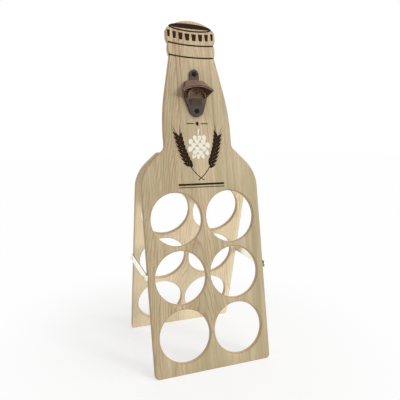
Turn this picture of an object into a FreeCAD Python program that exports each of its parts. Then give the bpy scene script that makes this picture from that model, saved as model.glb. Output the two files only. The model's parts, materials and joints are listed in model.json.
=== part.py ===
"""Folding bottle caddy: two leaning plywood panels with bottle holes, the front one with a cast opener.

Frame: +Z up, floor at Z = 0, X across, the front panel faces -Y. The origin is on the floor, half-way between
the two feet, under the hinge line. Millimetres and degrees.
"""
import FreeCAD, Part
import math
import os
import Sketcher

doc = FreeCAD.newDocument("bottle_caddy")
sheet = doc.addObject("Spreadsheet::Sheet", "Sizes")

SIZES = {
    # Panels
    "lean_angle": 13.8,
    "panel_width": 188.0,
    "panel_thickness": 8.0,
    "foot_corner_radius": 7.0,
    "shoulder_height": 55.0,
    "shoulder_radius": 57.0,
    "shoulder_angle": 45.0,
    "rear_length": 329.0,
    "rear_corner_radius": 4.0,
    # Bottle holes
    "hole_diameter": 80.0,
    "column_web": 7.0,
    "row_web": 7.5,
    "side_margin": 10.0,
    "foot_margin": 15.0,
    "top_margin": 58.0,
    # Neck and crown-cap outline of the front panel
    "neck_width": 108.5,
    "neck_fillet": 10.5,
    "neck_root": 16.6,
    "neck_flare": 1.386,
    "collar_inset": 3.7,
    "collar_height": 19.8,
    "collar_swell": 1.7,
    "cap_notch_depth": 3.0,
    "cap_height": 34.7,
    "cap_width": 79.0,
    "cap_lip_height": 8.2,
    "cap_corner_radius": 9.0,
    "cap_dome_radius": 61.0,
    "front_length": 529.5,
    # Hinges
    "hinge_spacing": 62.0,
    "leaf_width": 34.0,
    "leaf_height": 22.0,
    "leaf_thickness": 1.0,
    "knuckle_radius": 2.2,
    "middle_knuckle_length": 13.0,
    "hinge_pin_radius": 1.1,
    "hinge_pin_head_radius": 1.9,
    "hinge_pin_head_length": 0.9,
    "hinge_screw_pitch": 20.0,
    "hinge_screw_drop": 13.0,
    "hinge_screw_radius": 1.3,
    "hinge_screw_length": 6.5,
    # Cast opener on the neck, measured from its lower screw
    "opener_drop": 82.1,
    "opener_screw_pitch": 56.0,
    "opener_thickness": 3.6,
    "opener_bottom_radius": 12.0,
    "opener_bottom_rise": 3.8,
    "opener_waist": 21.0,
    "opener_waist_width": 37.2,
    "opener_tab_width": 14.6,
    "hood_root_width": 33.6,
    "hood_root_top": 46.4,
    "hood_root_corner": 5.0,
    "hood_wall": 3.6,
    "hood_reach": 18.0,
    "hood_width": 50.0,
    "hood_front_top": 35.6,
    "hood_front_sag": 7.2,
    "hood_rim": 3.6,
    "ring_centre": 19.4,
    "ring_radius": 15.3,
    "ring_wall": 2.6,
    "ring_reach": 8.5,
    "tooth_width": 17.6,
    "tooth_reach": 9.5,
    "tooth_base": 5.0,
    "tooth_root": 15.6,
    "tooth_top": 18.4,
    "tooth_edge": 2.6,
    "hollow_rise": 28.8,
    "hollow_radius": 3.0,
    "hollow_depth": 2.2,
    "opener_screw_radius": 2.0,
    "opener_screw_head_radius": 3.6,
    "opener_screw_head_height": 2.0,
    "opener_screw_length": 10.0,
    # Stay bars on the side edges
    "stay_position": 149.0,
    "stay_width": 13.0,
    "stay_thickness": 1.5,
    "stay_neck_length": 26.0,
    "stay_neck_slope": 8.0,
    "stay_arm_top": 5.5,
    "stay_arm_bottom": 3.0,
    "hook_finger": 4.0,
    "hook_drop": 4.5,
    "hook_slant": 35.0,
    "spare_hole_radius": 1.7,
    "spare_hole_along": 24.0,
    "spare_hole_drop": 2.6,
    "stay_screw_radius": 1.6,
    "stay_screw_depth": 9.0,
    "stay_shoulder_radius": 2.3,
    "stay_head_radius": 4.2,
    "stay_head_height": 2.1,
    "washer_radius": 5.0,
    "washer_thickness": 1.0,
    # Points of all screws
    "screw_tip_radius": 0.5,
    "screw_point_angle": 20.0,
    # Clearances
    "running_clearance": 0.06,
    "seat_clearance": 0.05,
    "side_play": 0.15,
    "body_clearance": 0.3,
}

for row, (alias, value) in enumerate(SIZES.items(), start=1):
    sheet.set(f"A{row}", alias)
    sheet.set(f"B{row}", str(value))
    sheet.setAlias(f"B{row}", alias)
doc.recompute()

# Lengths that follow from the sizes, as expressions
LEAN = "Sizes.lean_angle"
THICK = "Sizes.panel_thickness"
HALF_WIDTH = "Sizes.panel_width / 2"
MITRE = f"{THICK} * tan({LEAN})"
SHOULDER_START = "(Sizes.rear_length - Sizes.shoulder_height)"
COLUMN_PITCH = "(Sizes.hole_diameter + Sizes.column_web)"
COLUMN_ROOM = "(Sizes.panel_width - 2 * Sizes.side_margin + Sizes.column_web)"
COLUMN_COUNT = f"floor({COLUMN_ROOM} / {COLUMN_PITCH})"
ROW_PITCH = "(Sizes.hole_diameter + Sizes.row_web)"
ROW_ROOM = "(Sizes.rear_length - Sizes.foot_margin - Sizes.top_margin + Sizes.row_web)"
ROW_COUNT = f"floor({ROW_ROOM} / {ROW_PITCH})"
OPENER_POSITION = "(Sizes.front_length - Sizes.opener_drop - Sizes.opener_screw_pitch)"
AXIS_OFFSET = "(Sizes.knuckle_radius + Sizes.body_clearance)"
HINGE_ALONG = f"(Sizes.rear_length + {AXIS_OFFSET})"
HALF_SPREAD = f"({HINGE_ALONG} * sin({LEAN}) + {AXIS_OFFSET} * cos({LEAN}))"
HINGE_SCREW_HEAD = "(Sizes.hinge_screw_radius + Sizes.leaf_thickness)"
STAY_HALF_SPAN = f"({HALF_SPREAD} - Sizes.stay_position * sin({LEAN}) + {THICK} / 2 * cos({LEAN}))"
STAY_HEIGHT = f"(Sizes.stay_position * cos({LEAN}) + {THICK} / 2 * sin({LEAN}))"
STAY_LAYER = f"({HALF_WIDTH} + Sizes.washer_thickness + Sizes.side_play)"
STAY_SHOULDER = "(Sizes.washer_thickness + Sizes.stay_thickness + 2 * Sizes.side_play)"
FRONT = f"placement(vector(0; -{HALF_SPREAD}; 0); rotationx(90 - {LEAN}))"
REAR = f"placement(vector(0; {HALF_SPREAD}; 0); rotationz(180) * rotationx(90 - {LEAN}))"


def number(expression):
    """Value of an expression of the sheet, in millimetres or degrees."""
    value = sheet.evalExpression(str(expression))
    return float(getattr(value, "Value", value))


def minus(expression):
    """The same length on the other side of zero."""
    return f"-({expression})"


def new_body(name):
    """An empty body whose label names its file."""
    body = doc.addObject("PartDesign::Body", name)
    body.Label = name
    return body


def new_sketch(body, role="XY_Plane", offset="0"):
    """A sketch on one of the body's own planes, moved along that plane's normal."""
    sketch = body.newObject("Sketcher::SketchObject", f"{body.Name}_sketch")
    plane = next(item for item in body.Origin.OriginFeatures if item.Role == role)
    sketch.AttachmentSupport = [(plane, "")]
    sketch.MapMode = "FlatFace"
    sketch.setExpression("AttachmentOffset.Base.z", offset)
    return sketch


def bind(sketch, constraints):
    """Add (kind, geometry, point, expression) constraints and tie each one to its expression."""
    for kind, *where, expression in constraints:
        index = sketch.addConstraint(Sketcher.Constraint(kind, *where, number(expression)))
        sketch.setExpression(f"Constraints[{index}]", str(expression))


def side(start, end, bend):
    """One side of an outline: a line, or an arc whose radius is negative where the outline is hollow."""
    if bend is None:
        return Part.LineSegment(start, end), 1, 2
    radius = number(bend)
    chord = end - start
    across = FreeCAD.Vector(-chord.y, chord.x, 0).normalize()
    rise = math.sqrt(max(radius ** 2 - (chord.Length / 2) ** 2, 0.0))
    centre = (start + end) / 2 + across * math.copysign(rise, radius)
    first, last = (start, end) if radius > 0 else (end, start)
    angles = [math.atan2(point.y - centre.y, point.x - centre.x) for point in (first, last)]
    circle = Part.Circle(centre, FreeCAD.Vector(0, 0, 1), abs(radius))
    ends = (1, 2) if radius > 0 else (2, 1)
    return Part.ArcOfCircle(circle, *angles), *ends


def trace(sketch, corners):
    """Closed outline, anticlockwise. Each corner is (x, y, bend of the side that leaves it)."""
    points = [FreeCAD.Vector(number(x), number(y), 0) for x, y, bend in corners]
    sides = [side(points[i], points[(i + 1) % len(points)], corners[i][2]) for i in range(len(corners))]
    first = sketch.GeometryCount
    sketch.addGeometry([geometry for geometry, start, end in sides], False)
    for i, (geometry, start, end) in enumerate(sides):
        following = (i + 1) % len(sides)
        sketch.addConstraint(
            Sketcher.Constraint("Coincident", first + i, end, first + following, sides[following][1]))
    for i, (x, y, bend) in enumerate(corners):
        start = sides[i][1]
        bind(sketch, [("DistanceX", first + i, start, x), ("DistanceY", first + i, start, y)])
        if bend is not None:
            bind(sketch, [("Radius", first + i, f"abs({bend})")])


def add_circle(sketch, x, y, radius):
    """A circle tied to its centre and radius."""
    centre = FreeCAD.Vector(number(x), number(y), 0)
    circle = Part.Circle(centre, FreeCAD.Vector(0, 0, 1), number(radius))
    index = sketch.addGeometry(circle, False)
    bind(sketch, [("DistanceX", index, 3, x), ("DistanceY", index, 3, y), ("Radius", index, radius)])


def add_pad(body, sketch, length, midplane=False):
    """Solid made from a sketch."""
    pad = body.newObject("PartDesign::Pad", f"{body.Name}_pad")
    pad.Profile = sketch
    pad.setExpression("Length", length)
    pad.Midplane = midplane
    doc.recompute()
    return pad


def add_pocket(body, sketch, length, reverse=False, midplane=False):
    """Cut made from a sketch; it must take something away."""
    before = body.Shape.Volume
    pocket = body.newObject("PartDesign::Pocket", f"{body.Name}_pocket")
    pocket.Profile = sketch
    pocket.setExpression("Length", length)
    pocket.Reversed = reverse
    pocket.Midplane = midplane
    doc.recompute()
    if body.Shape.Volume >= before:
        raise RuntimeError(f"{body.Name}: a pocket cuts nothing")
    return pocket


def add_mirror(body, feature):
    """The same feature on the other side of the body's middle plane."""
    mirror = body.newObject("PartDesign::Mirrored", f"{body.Name}_mirror")
    mirror.Originals = [feature]
    plane = next(item for item in body.Origin.OriginFeatures if item.Role == "YZ_Plane")
    mirror.MirrorPlane = (plane, [""])
    body.Tip = mirror
    doc.recompute()


def add_pattern(body, direction, pitch, count):
    """Copies in a row, one pitch apart."""
    pattern = body.newObject("PartDesign::LinearPattern", f"{body.Name}_pattern")
    pattern.Direction = direction
    pattern.setExpression("Length", f"{pitch} * ({count} - 1)")
    pattern.setExpression("Occurrences", count)
    return pattern


def add_turning(body, corners):
    """Round solid about the body's Z axis, from corners (radius, height, bend)."""
    sketch = new_sketch(body, "XZ_Plane")
    trace(sketch, corners)
    turning = body.newObject("PartDesign::Revolution", f"{body.Name}_turning")
    turning.Profile = sketch
    turning.ReferenceAxis = (sketch, ["V_Axis"])
    turning.Angle = 360
    doc.recompute()


def place(body, expression):
    """Tie the body's placement to an expression."""
    body.setExpression("Placement", expression)
    doc.recompute()


def mirrored_outline(right_half):
    """Whole outline from its right half, which runs upwards; a corner at x "0" is on the centre line."""
    left_half = []
    for i in range(len(right_half) - 1, -1, -1):
        x, y, bend = right_half[i]
        bend_before = right_half[i - 1][2] if i else None
        if x != "0":
            left_half.append((minus(x), y, bend_before))
    return right_half + left_half


def body_half():
    """Right half of both panels' outline: foot corner, straight side and shoulder up to its slope."""
    shoulder_x = f"{HALF_WIDTH} - Sizes.shoulder_radius * (1 - cos(Sizes.shoulder_angle))"
    shoulder_y = f"{SHOULDER_START} + Sizes.shoulder_radius * sin(Sizes.shoulder_angle)"
    corners = [
        (f"{HALF_WIDTH} - Sizes.foot_corner_radius", minus(MITRE), "Sizes.foot_corner_radius"),
        (HALF_WIDTH, f"Sizes.foot_corner_radius - {MITRE}", None),
        (HALF_WIDTH, SHOULDER_START, "Sizes.shoulder_radius"),
        (shoulder_x, shoulder_y, None),
    ]
    return corners, shoulder_x, shoulder_y


def front_half():
    """Right half of the front panel's outline: body, neck, collar and crown cap."""
    corners, shoulder_x, shoulder_y = body_half()
    neck = "Sizes.neck_width / 2"
    slope = "Sizes.shoulder_angle"
    meet = f"({shoulder_y} + ({shoulder_x} - {neck}) / tan({slope}))"
    tangent = f"(Sizes.neck_fillet * tan({slope} / 2))"
    collar_x = "(Sizes.cap_width / 2 - Sizes.collar_inset)"
    collar_top = "(Sizes.front_length - Sizes.cap_height)"
    collar_start = f"({collar_top} - Sizes.collar_height)"
    bulge_start = f"({meet} + Sizes.neck_root)"
    neck_run = f"({collar_start} - {bulge_start})"
    neck_drift = f"({neck} - {collar_x})"
    taper = f"(Sizes.neck_flare * atan({neck_drift} / {neck_run}))"
    bulge = f"(({neck_run} * tan({taper}) - {neck_drift}) / (1 / cos({taper}) - 1))"
    notch_x = "(Sizes.cap_width / 2 - Sizes.cap_notch_depth)"
    collar_chord = f"((({collar_x} - {notch_x}) ^ 2 + Sizes.collar_height ^ 2) / 4)"
    collar_bend = f"(({collar_chord} + Sizes.collar_swell ^ 2) / (2 * Sizes.collar_swell))"
    lip_depth = "Sizes.cap_notch_depth"
    lip_bend = f"(({lip_depth} ^ 2 + Sizes.cap_lip_height ^ 2) / (2 * {lip_depth}))"
    dome_centre = "(Sizes.front_length - Sizes.cap_dome_radius)"
    corner_run = "(Sizes.cap_dome_radius - Sizes.cap_corner_radius)"
    corner_x = "(Sizes.cap_width / 2 - Sizes.cap_corner_radius)"
    corner_rise = f"sqrt({corner_run} ^ 2 - {corner_x} ^ 2)"
    corners += [
        (f"{neck} + {tangent} * sin({slope})", f"{meet} - {tangent} * cos({slope})", "-Sizes.neck_fillet"),
        (neck, f"{meet} + {tangent}", None),
        (neck, bulge_start, bulge),
        (f"{neck} - {bulge} * (1 - cos({taper}))", f"{bulge_start} + {bulge} * sin({taper})", None),
        (collar_x, collar_start, collar_bend),
        (notch_x, collar_top, lip_bend),
        ("Sizes.cap_width / 2", f"{collar_top} + Sizes.cap_lip_height", None),
        ("Sizes.cap_width / 2", f"{dome_centre} + {corner_rise}", "Sizes.cap_corner_radius"),
        (f"{corner_x} * Sizes.cap_dome_radius / {corner_run}",
         f"{dome_centre} + {corner_rise} * Sizes.cap_dome_radius / {corner_run}", "Sizes.cap_dome_radius"),
    ]
    return corners


def rear_half():
    """Right half of the rear panel's outline: body and shoulder, cut straight at the hinge line."""
    corners, shoulder_x, shoulder_y = body_half()
    slope = "Sizes.shoulder_angle"
    top_x = f"({shoulder_x} - (Sizes.rear_length - ({shoulder_y})) * tan({slope}))"
    tangent = f"(Sizes.rear_corner_radius * tan((90 - {slope}) / 2))"
    corners += [
        (f"{top_x} + {tangent} * sin({slope})", f"Sizes.rear_length - {tangent} * cos({slope})",
         "Sizes.rear_corner_radius"),
        (f"{top_x} - {tangent}", "Sizes.rear_length", None),
    ]
    return corners


def hinge_screw_places():
    """Across and along places of the four hinge screws on a panel's inner face."""
    along = f"{HINGE_ALONG} - Sizes.hinge_screw_drop"
    hinges = ("-Sizes.hinge_spacing / 2", "Sizes.hinge_spacing / 2")
    screws = ("- Sizes.hinge_screw_pitch / 2", "+ Sizes.hinge_screw_pitch / 2")
    return [(f"{hinge} {screw}", along) for hinge in hinges for screw in screws]


def make_panel(name, right_half, placement):
    """Plywood panel: outline, mitred foot, bottle holes and the pilot holes of its screws."""
    body = new_body(name)
    outline = new_sketch(body)
    trace(outline, mirrored_outline(right_half))
    add_pad(body, outline, THICK)

    mitre = new_sketch(body, "YZ_Plane")
    trace(mitre, [("0", "0", None), (minus(MITRE), THICK, None), (minus(MITRE), "0", None)])
    add_pocket(body, mitre, "2 * Sizes.panel_width", midplane=True)

    first_hole = new_sketch(body)
    first_x = f"-{COLUMN_PITCH} * ({COLUMN_COUNT} - 1) / 2"
    add_circle(first_hole, first_x, "Sizes.foot_margin + Sizes.hole_diameter / 2", "Sizes.hole_diameter / 2")
    hole = add_pocket(body, first_hole, f"2 * {THICK}", midplane=True)
    grid = body.newObject("PartDesign::MultiTransform", f"{name}_holes")
    grid.Originals = [hole]
    columns = add_pattern(body, (first_hole, ["H_Axis"]), COLUMN_PITCH, COLUMN_COUNT)
    rows = add_pattern(body, (first_hole, ["V_Axis"]), ROW_PITCH, ROW_COUNT)
    grid.Transformations = [columns, rows]
    body.Tip = grid
    doc.recompute()

    hinge_pilots = new_sketch(body)
    for x, y in hinge_screw_places():
        add_circle(hinge_pilots, x, y, "Sizes.hinge_screw_radius + Sizes.seat_clearance")
    hinge_depth = "Sizes.hinge_screw_length - Sizes.leaf_thickness + Sizes.seat_clearance"
    add_pocket(body, hinge_pilots, hinge_depth, reverse=True)

    stay_pilot = new_sketch(body, "YZ_Plane", HALF_WIDTH)
    stay_bore = "Sizes.stay_screw_radius + Sizes.seat_clearance"
    add_circle(stay_pilot, "Sizes.stay_position", f"{THICK} / 2", stay_bore)
    add_mirror(body, add_pocket(body, stay_pilot, "Sizes.stay_screw_depth + Sizes.seat_clearance"))
    place(body, placement)
    return body


def make_front_panel():
    """Bottle-shaped front panel with two more pilot holes for the opener."""
    body = make_panel("front_panel", front_half(), FRONT)
    pilots = new_sketch(body, "XY_Plane", THICK)
    for rise in ("0", "Sizes.opener_screw_pitch"):
        add_circle(pilots, "0", f"{OPENER_POSITION} + {rise}",
                   "Sizes.opener_screw_radius + Sizes.seat_clearance")
    add_pocket(body, pilots, "Sizes.opener_screw_length - Sizes.opener_thickness + Sizes.seat_clearance")


def rim_half(centre, radius, angles):
    """Right half of an arched line about (0, centre), with corners at angles counted from straight up."""
    corners = [(f"{radius} * sin({a})", f"{centre} + {radius} * cos({a})", radius) for a in angles]
    return corners + [("0", f"{centre} + {radius}", radius)]


def hood_root_half(inset):
    """Right half of the hood's line on the opener plate, set in from its outer face."""
    root_x = f"(Sizes.hood_root_width / 2 - {inset})"
    corner = f"(Sizes.hood_root_corner - {inset})"
    top = f"(Sizes.hood_root_top - {inset})"
    return [
        (f"(Sizes.opener_waist_width / 2 - {inset})", "Sizes.opener_waist", None),
        (root_x, f"{top} - {corner}", corner),
        (f"({root_x} - {corner})", top, None),
        ("0", top, None),
    ]


def add_band(sketch, outer_half, inner_half):
    """Arched band open at the bottom, from the right halves of its outer and inner lines."""
    corners = mirrored_outline(outer_half)
    inner = mirrored_outline(inner_half)
    for i in range(len(inner) - 1, -1, -1):
        x, y, bend = inner[i]
        bend_before = inner[i - 1][2] if i else None
        corners.append((x, y, minus(bend_before) if bend_before else None))
    trace(sketch, corners)


def make_opener():
    """Cast opener: shield plate with a screw tab, flaring hood, inner ring, lifting tooth and a hollow."""
    body = new_body("opener_casting")
    waist_x = "(Sizes.opener_waist_width / 2)"
    waist_rise = "(Sizes.opener_waist - Sizes.opener_bottom_rise)"
    waist_reach = f"sqrt({waist_x} ^ 2 + {waist_rise} ^ 2)"
    flank = f"(acos(Sizes.opener_bottom_radius / {waist_reach}) - atan({waist_rise} / {waist_x}))"
    low_x = f"Sizes.opener_bottom_radius * cos({flank})"
    low_y = f"Sizes.opener_bottom_rise - Sizes.opener_bottom_radius * sin({flank})"
    tab_x = "(Sizes.opener_tab_width / 2)"
    root_corners = hood_root_half("0")[:3]
    plate = new_sketch(body)
    trace(plate, mirrored_outline([
        ("0", "Sizes.opener_bottom_rise - Sizes.opener_bottom_radius", "Sizes.opener_bottom_radius"),
        (low_x, low_y, None),
        *root_corners,
        (tab_x, "Sizes.hood_root_top", None),
        (tab_x, "Sizes.opener_screw_pitch", tab_x),
        ("0", f"Sizes.opener_screw_pitch + {tab_x}", tab_x),
    ]))
    add_pad(body, plate, "Sizes.opener_thickness")

    root_band = new_sketch(body, "XY_Plane", "Sizes.opener_thickness")
    add_band(root_band, hood_root_half("0"), hood_root_half("Sizes.hood_wall"))
    sag = "Sizes.hood_front_sag"
    front_radius = f"((Sizes.hood_width ^ 2 / 4 + {sag} ^ 2) / (2 * {sag}))"
    front_inner = f"({front_radius} - Sizes.hood_rim)"
    front_centre = f"(Sizes.hood_front_top - {front_radius})"
    flare = "Sizes.hood_width / Sizes.opener_waist_width"
    front_angles = [f"asin({x} * {flare} / {front_radius})" for x, y, bend in root_corners]
    front_band = new_sketch(body, "XY_Plane", "Sizes.hood_reach")
    add_band(front_band, rim_half(front_centre, front_radius, front_angles),
             rim_half(front_centre, front_inner, front_angles))
    hood = body.newObject("PartDesign::AdditiveLoft", "opener_casting_hood")
    hood.Profile = root_band
    hood.Sections = [front_band]
    hood.Ruled = True
    doc.recompute()

    depth = "Sizes.opener_thickness / 2"
    ring = new_sketch(body, "XY_Plane", depth)
    ring_inner = "(Sizes.ring_radius - Sizes.ring_wall)"
    add_band(ring, rim_half("Sizes.ring_centre", "Sizes.ring_radius", ["90"]),
             rim_half("Sizes.ring_centre", ring_inner, ["90"]))
    add_pad(body, ring, f"Sizes.ring_reach - {depth}")

    tooth = new_sketch(body, "YZ_Plane")
    trace(tooth, [
        ("Sizes.tooth_base", depth, None),
        ("Sizes.tooth_root", depth, None),
        ("Sizes.tooth_top", "Sizes.tooth_reach - Sizes.tooth_edge", None),
        ("Sizes.tooth_top", "Sizes.tooth_reach", None),
    ])
    add_pad(body, tooth, "Sizes.tooth_width", midplane=True)

    hollow = new_sketch(body, "XY_Plane", "Sizes.opener_thickness")
    add_circle(hollow, "0", "Sizes.hollow_rise", "Sizes.hollow_radius")
    add_pocket(body, hollow, "Sizes.hollow_depth")

    screws = new_sketch(body)
    for y in ("0", "Sizes.opener_screw_pitch"):
        add_circle(screws, "0", y, "Sizes.opener_screw_radius + Sizes.seat_clearance")
    add_pocket(body, screws, "2 * Sizes.opener_thickness", midplane=True)
    place(body, f"{FRONT} * placement(vector(0; {OPENER_POSITION}; {THICK}); rotationx(0))")


def screw_point(radius, length):
    """Corners of a screw's pointed end, from its tip up to the full radius."""
    taper = f"({radius} - Sizes.screw_tip_radius) / tan(Sizes.screw_point_angle)"
    return [
        ("0", minus(length), None),
        ("Sizes.screw_tip_radius", minus(length), None),
        (radius, f"{taper} - {length}", None),
    ]


def make_dome_screw(name, radius, depth, shoulder_radius, shoulder, head_radius, head_height, placement):
    """Round-head screw: thread below zero, plain shoulder above it, domed head on the shoulder."""
    body = new_body(name)
    dome = f"(({head_radius} ^ 2 + {head_height} ^ 2) / (2 * {head_height}))"
    corners = screw_point(radius, depth)
    if shoulder_radius != radius:
        corners += [(radius, "0", None), (shoulder_radius, "0", None)]
    corners += [
        (shoulder_radius, shoulder, None),
        (head_radius, shoulder, dome),
        ("0", f"{shoulder} + {head_height}", None),
    ]
    add_turning(body, corners)
    place(body, placement)


def make_flat_screw(name, placement):
    """Countersunk hinge screw, flush with zero."""
    body = new_body(name)
    radius = "Sizes.hinge_screw_radius"
    head = HINGE_SCREW_HEAD
    corners = screw_point(radius, "Sizes.hinge_screw_length")
    corners += [(radius, f"-({head} - {radius})", None), (head, "0", None), ("0", "0", None)]
    add_turning(body, corners)
    place(body, placement)


def turning_line(sketch, x):
    """The sketch's first construction line, across it at x, as an axis to turn about."""
    start = FreeCAD.Vector(number(x), 0, 0)
    end = FreeCAD.Vector(number(x), 1, 0)
    index = sketch.addGeometry(Part.LineSegment(start, end), True)
    bind(sketch, [("DistanceX", index, 1, x), ("DistanceX", index, 2, x),
                  ("DistanceY", index, 1, "0"), ("DistanceY", index, 2, "1")])
    return sketch, ["Axis0"]


def make_leaf(name, outer_knuckles, placement):
    """Hinge leaf on a panel's inner face; the hinge axis is the body's X axis."""
    body = new_body(name)
    face = AXIS_OFFSET
    back = f"({AXIS_OFFSET} - Sizes.leaf_thickness)"
    plate_top = minus(AXIS_OFFSET)
    plate = new_sketch(body, "YZ_Plane")
    trace(plate, [("-Sizes.leaf_height", back, None), (plate_top, back, None),
                  (plate_top, face, None), ("-Sizes.leaf_height", face, None)])
    add_pad(body, plate, "Sizes.leaf_width", midplane=True)

    gap = "Sizes.side_play"
    start = f"Sizes.middle_knuckle_length / 2 + {gap} / 2" if outer_knuckles else "0"
    strap = new_sketch(body, "YZ_Plane", start)
    strap_foot = f"{plate_top} - Sizes.leaf_thickness"
    trace(strap, [(strap_foot, back, None), ("0", back, None), ("0", face, None), (strap_foot, face, None)])
    barrel = new_sketch(body, "YZ_Plane", start)
    add_circle(barrel, "0", "0", "Sizes.knuckle_radius")
    outer_length = f"(Sizes.leaf_width - Sizes.middle_knuckle_length - {gap}) / 2"
    middle_length = f"Sizes.middle_knuckle_length - {gap}"
    for sketch in (strap, barrel):
        pad = add_pad(body, sketch, outer_length if outer_knuckles else middle_length, not outer_knuckles)
        if outer_knuckles:
            add_mirror(body, pad)

    bore = new_sketch(body, "YZ_Plane")
    add_circle(bore, "0", "0", "Sizes.hinge_pin_radius + Sizes.running_clearance")
    add_pocket(body, bore, "2 * Sizes.leaf_width", midplane=True)

    sink = new_sketch(body, "XZ_Plane", "Sizes.hinge_screw_drop")
    radius = "(Sizes.hinge_screw_radius + Sizes.seat_clearance)"
    head = f"({HINGE_SCREW_HEAD} + Sizes.seat_clearance)"
    middle = "Sizes.hinge_screw_pitch / 2"
    past_face = f"{face} + {radius}"
    trace(sink, [
        (middle, back, None),
        (f"{middle} + {head}", back, None),
        (f"{middle} + {radius}", f"{back} + {head} - {radius}", None),
        (f"{middle} + {radius}", past_face, None),
        (middle, past_face, None),
    ])
    groove = body.newObject("PartDesign::Groove", f"{name}_sink")
    groove.Profile = sink
    groove.ReferenceAxis = turning_line(sink, middle)
    groove.Angle = 360
    doc.recompute()
    add_mirror(body, groove)
    place(body, placement)


def make_hinge(side_name, across):
    """One butt hinge: two leaves, the headed pin and four countersunk screws."""
    on_front = f"{FRONT} * placement(vector({across}; {HINGE_ALONG}; -{AXIS_OFFSET}); rotationx(0))"
    on_rear = f"{REAR} * placement(vector(-({across}); {HINGE_ALONG}; -{AXIS_OFFSET}); rotationx(0))"
    make_leaf(f"{side_name}_hinge_front_leaf", True, on_front)
    make_leaf(f"{side_name}_hinge_rear_leaf", False, on_rear)

    pin = new_body(f"{side_name}_hinge_pin")
    half = "Sizes.leaf_width / 2"
    end = f"{half} + Sizes.hinge_pin_head_length"
    radius = "Sizes.hinge_pin_radius"
    head = "Sizes.hinge_pin_head_radius"
    add_turning(pin, [("0", minus(end), None), (head, minus(end), None), (head, minus(half), None),
                      (radius, minus(half), None), (radius, half, None), (head, half, None),
                      (head, end, None), ("0", end, None)])
    place(pin, f"{on_front} * placement(vector(0; 0; 0); rotationy(90))")

    along = f"{HINGE_ALONG} - Sizes.hinge_screw_drop"
    shift = "Sizes.hinge_screw_pitch / 2"
    for panel_name, panel, middle in (("front", FRONT, across), ("rear", REAR, minus(across))):
        for screw_name, screw_x in (("a", f"{middle} - {shift}"), ("b", f"{middle} + {shift}")):
            seat = f"placement(vector({screw_x}; {along}; -Sizes.leaf_thickness); rotationx(180))"
            make_flat_screw(f"{side_name}_hinge_{panel_name}_screw_{screw_name}", f"{panel} * {seat}")


def make_stay_bar(name, across):
    """Flat hook bar: an eye on the rear panel's screw, a slanted notch over the front panel's screw."""
    body = new_body(name)
    half = "Sizes.stay_width / 2"
    span = f"(2 * {STAY_HALF_SPAN})"
    neck = f"({span} - Sizes.stay_neck_length)"
    arm = f"({neck} + Sizes.stay_neck_slope)"
    notch = "(Sizes.stay_shoulder_radius + Sizes.body_clearance)"
    slant = "Sizes.hook_slant"
    leave_x = f"({span} - {notch} * cos({slant}))"
    leave_y = f"({notch} * sin({slant}))"
    arm_low_x = f"({leave_x} - ({leave_y} + Sizes.stay_arm_bottom) * tan({slant}))"
    tip_radius = "Sizes.hook_finger / 2"
    finger_in = f"({span} + {notch})"
    finger_out = f"({finger_in} + Sizes.hook_finger)"
    nose = f"(Sizes.hook_finger + {notch})"
    outline = new_sketch(body)
    trace(outline, [
        ("0", minus(half), None),
        (neck, minus(half), None),
        (arm, "-Sizes.stay_arm_bottom", None),
        (arm_low_x, "-Sizes.stay_arm_bottom", None),
        (leave_x, leave_y, minus(notch)),
        (span, notch, minus(notch)),
        (finger_in, "0", None),
        (finger_in, f"{tip_radius} - Sizes.hook_drop", tip_radius),
        (f"{finger_in} + {tip_radius}", "-Sizes.hook_drop", tip_radius),
        (finger_out, f"{tip_radius} - Sizes.hook_drop", None),
        (finger_out, f"Sizes.stay_arm_top - {nose} / 2", f"{nose} / 2"),
        (f"{finger_out} - {nose} / 2", "Sizes.stay_arm_top", None),
        (arm, "Sizes.stay_arm_top", None),
        (neck, half, None),
        ("0", half, half),
        (minus(half), "0", half),
    ])
    add_pad(body, outline, "Sizes.stay_thickness")
    eyes = new_sketch(body)
    add_circle(eyes, "0", "0", "Sizes.stay_shoulder_radius + Sizes.running_clearance")
    add_circle(eyes, "Sizes.spare_hole_along", "-Sizes.spare_hole_drop", "Sizes.spare_hole_radius")
    add_pocket(body, eyes, "2 * Sizes.stay_thickness", midplane=True)
    pivot = f"vector({across}; {STAY_HALF_SPAN}; {STAY_HEIGHT})"
    place(body, f"placement({pivot}; rotationz(-90) * rotationx(90))")


def make_washer(name, placement):
    """Flat washer between the rear panel's edge and the stay bar."""
    body = new_body(name)
    bore = "Sizes.stay_shoulder_radius + Sizes.seat_clearance"
    add_turning(body, [(bore, "0", None), ("Sizes.washer_radius", "0", None),
                       ("Sizes.washer_radius", "Sizes.washer_thickness", None),
                       (bore, "Sizes.washer_thickness", None)])
    place(body, placement)


def make_stay(side_name, sign):
    """One side's stay: hook bar, pivot screw and washer at the rear, catch screw at the front."""
    outside = STAY_LAYER if sign < 0 else f"({STAY_LAYER} + Sizes.stay_thickness)"
    make_stay_bar(f"{side_name}_stay_bar", f"{sign} * {outside}")
    for use, panel, turn in (("catch", FRONT, sign), ("pivot", REAR, -sign)):
        edge = f"vector({turn} * {HALF_WIDTH}; Sizes.stay_position; {THICK} / 2)"
        seat = f"{panel} * placement({edge}; rotationy({turn * 90}))"
        make_dome_screw(f"{side_name}_stay_{use}_screw", "Sizes.stay_screw_radius", "Sizes.stay_screw_depth",
                        "Sizes.stay_shoulder_radius", STAY_SHOULDER,
                        "Sizes.stay_head_radius", "Sizes.stay_head_height", seat)
        if use == "pivot":
            make_washer(f"{side_name}_stay_washer", seat)


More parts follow.
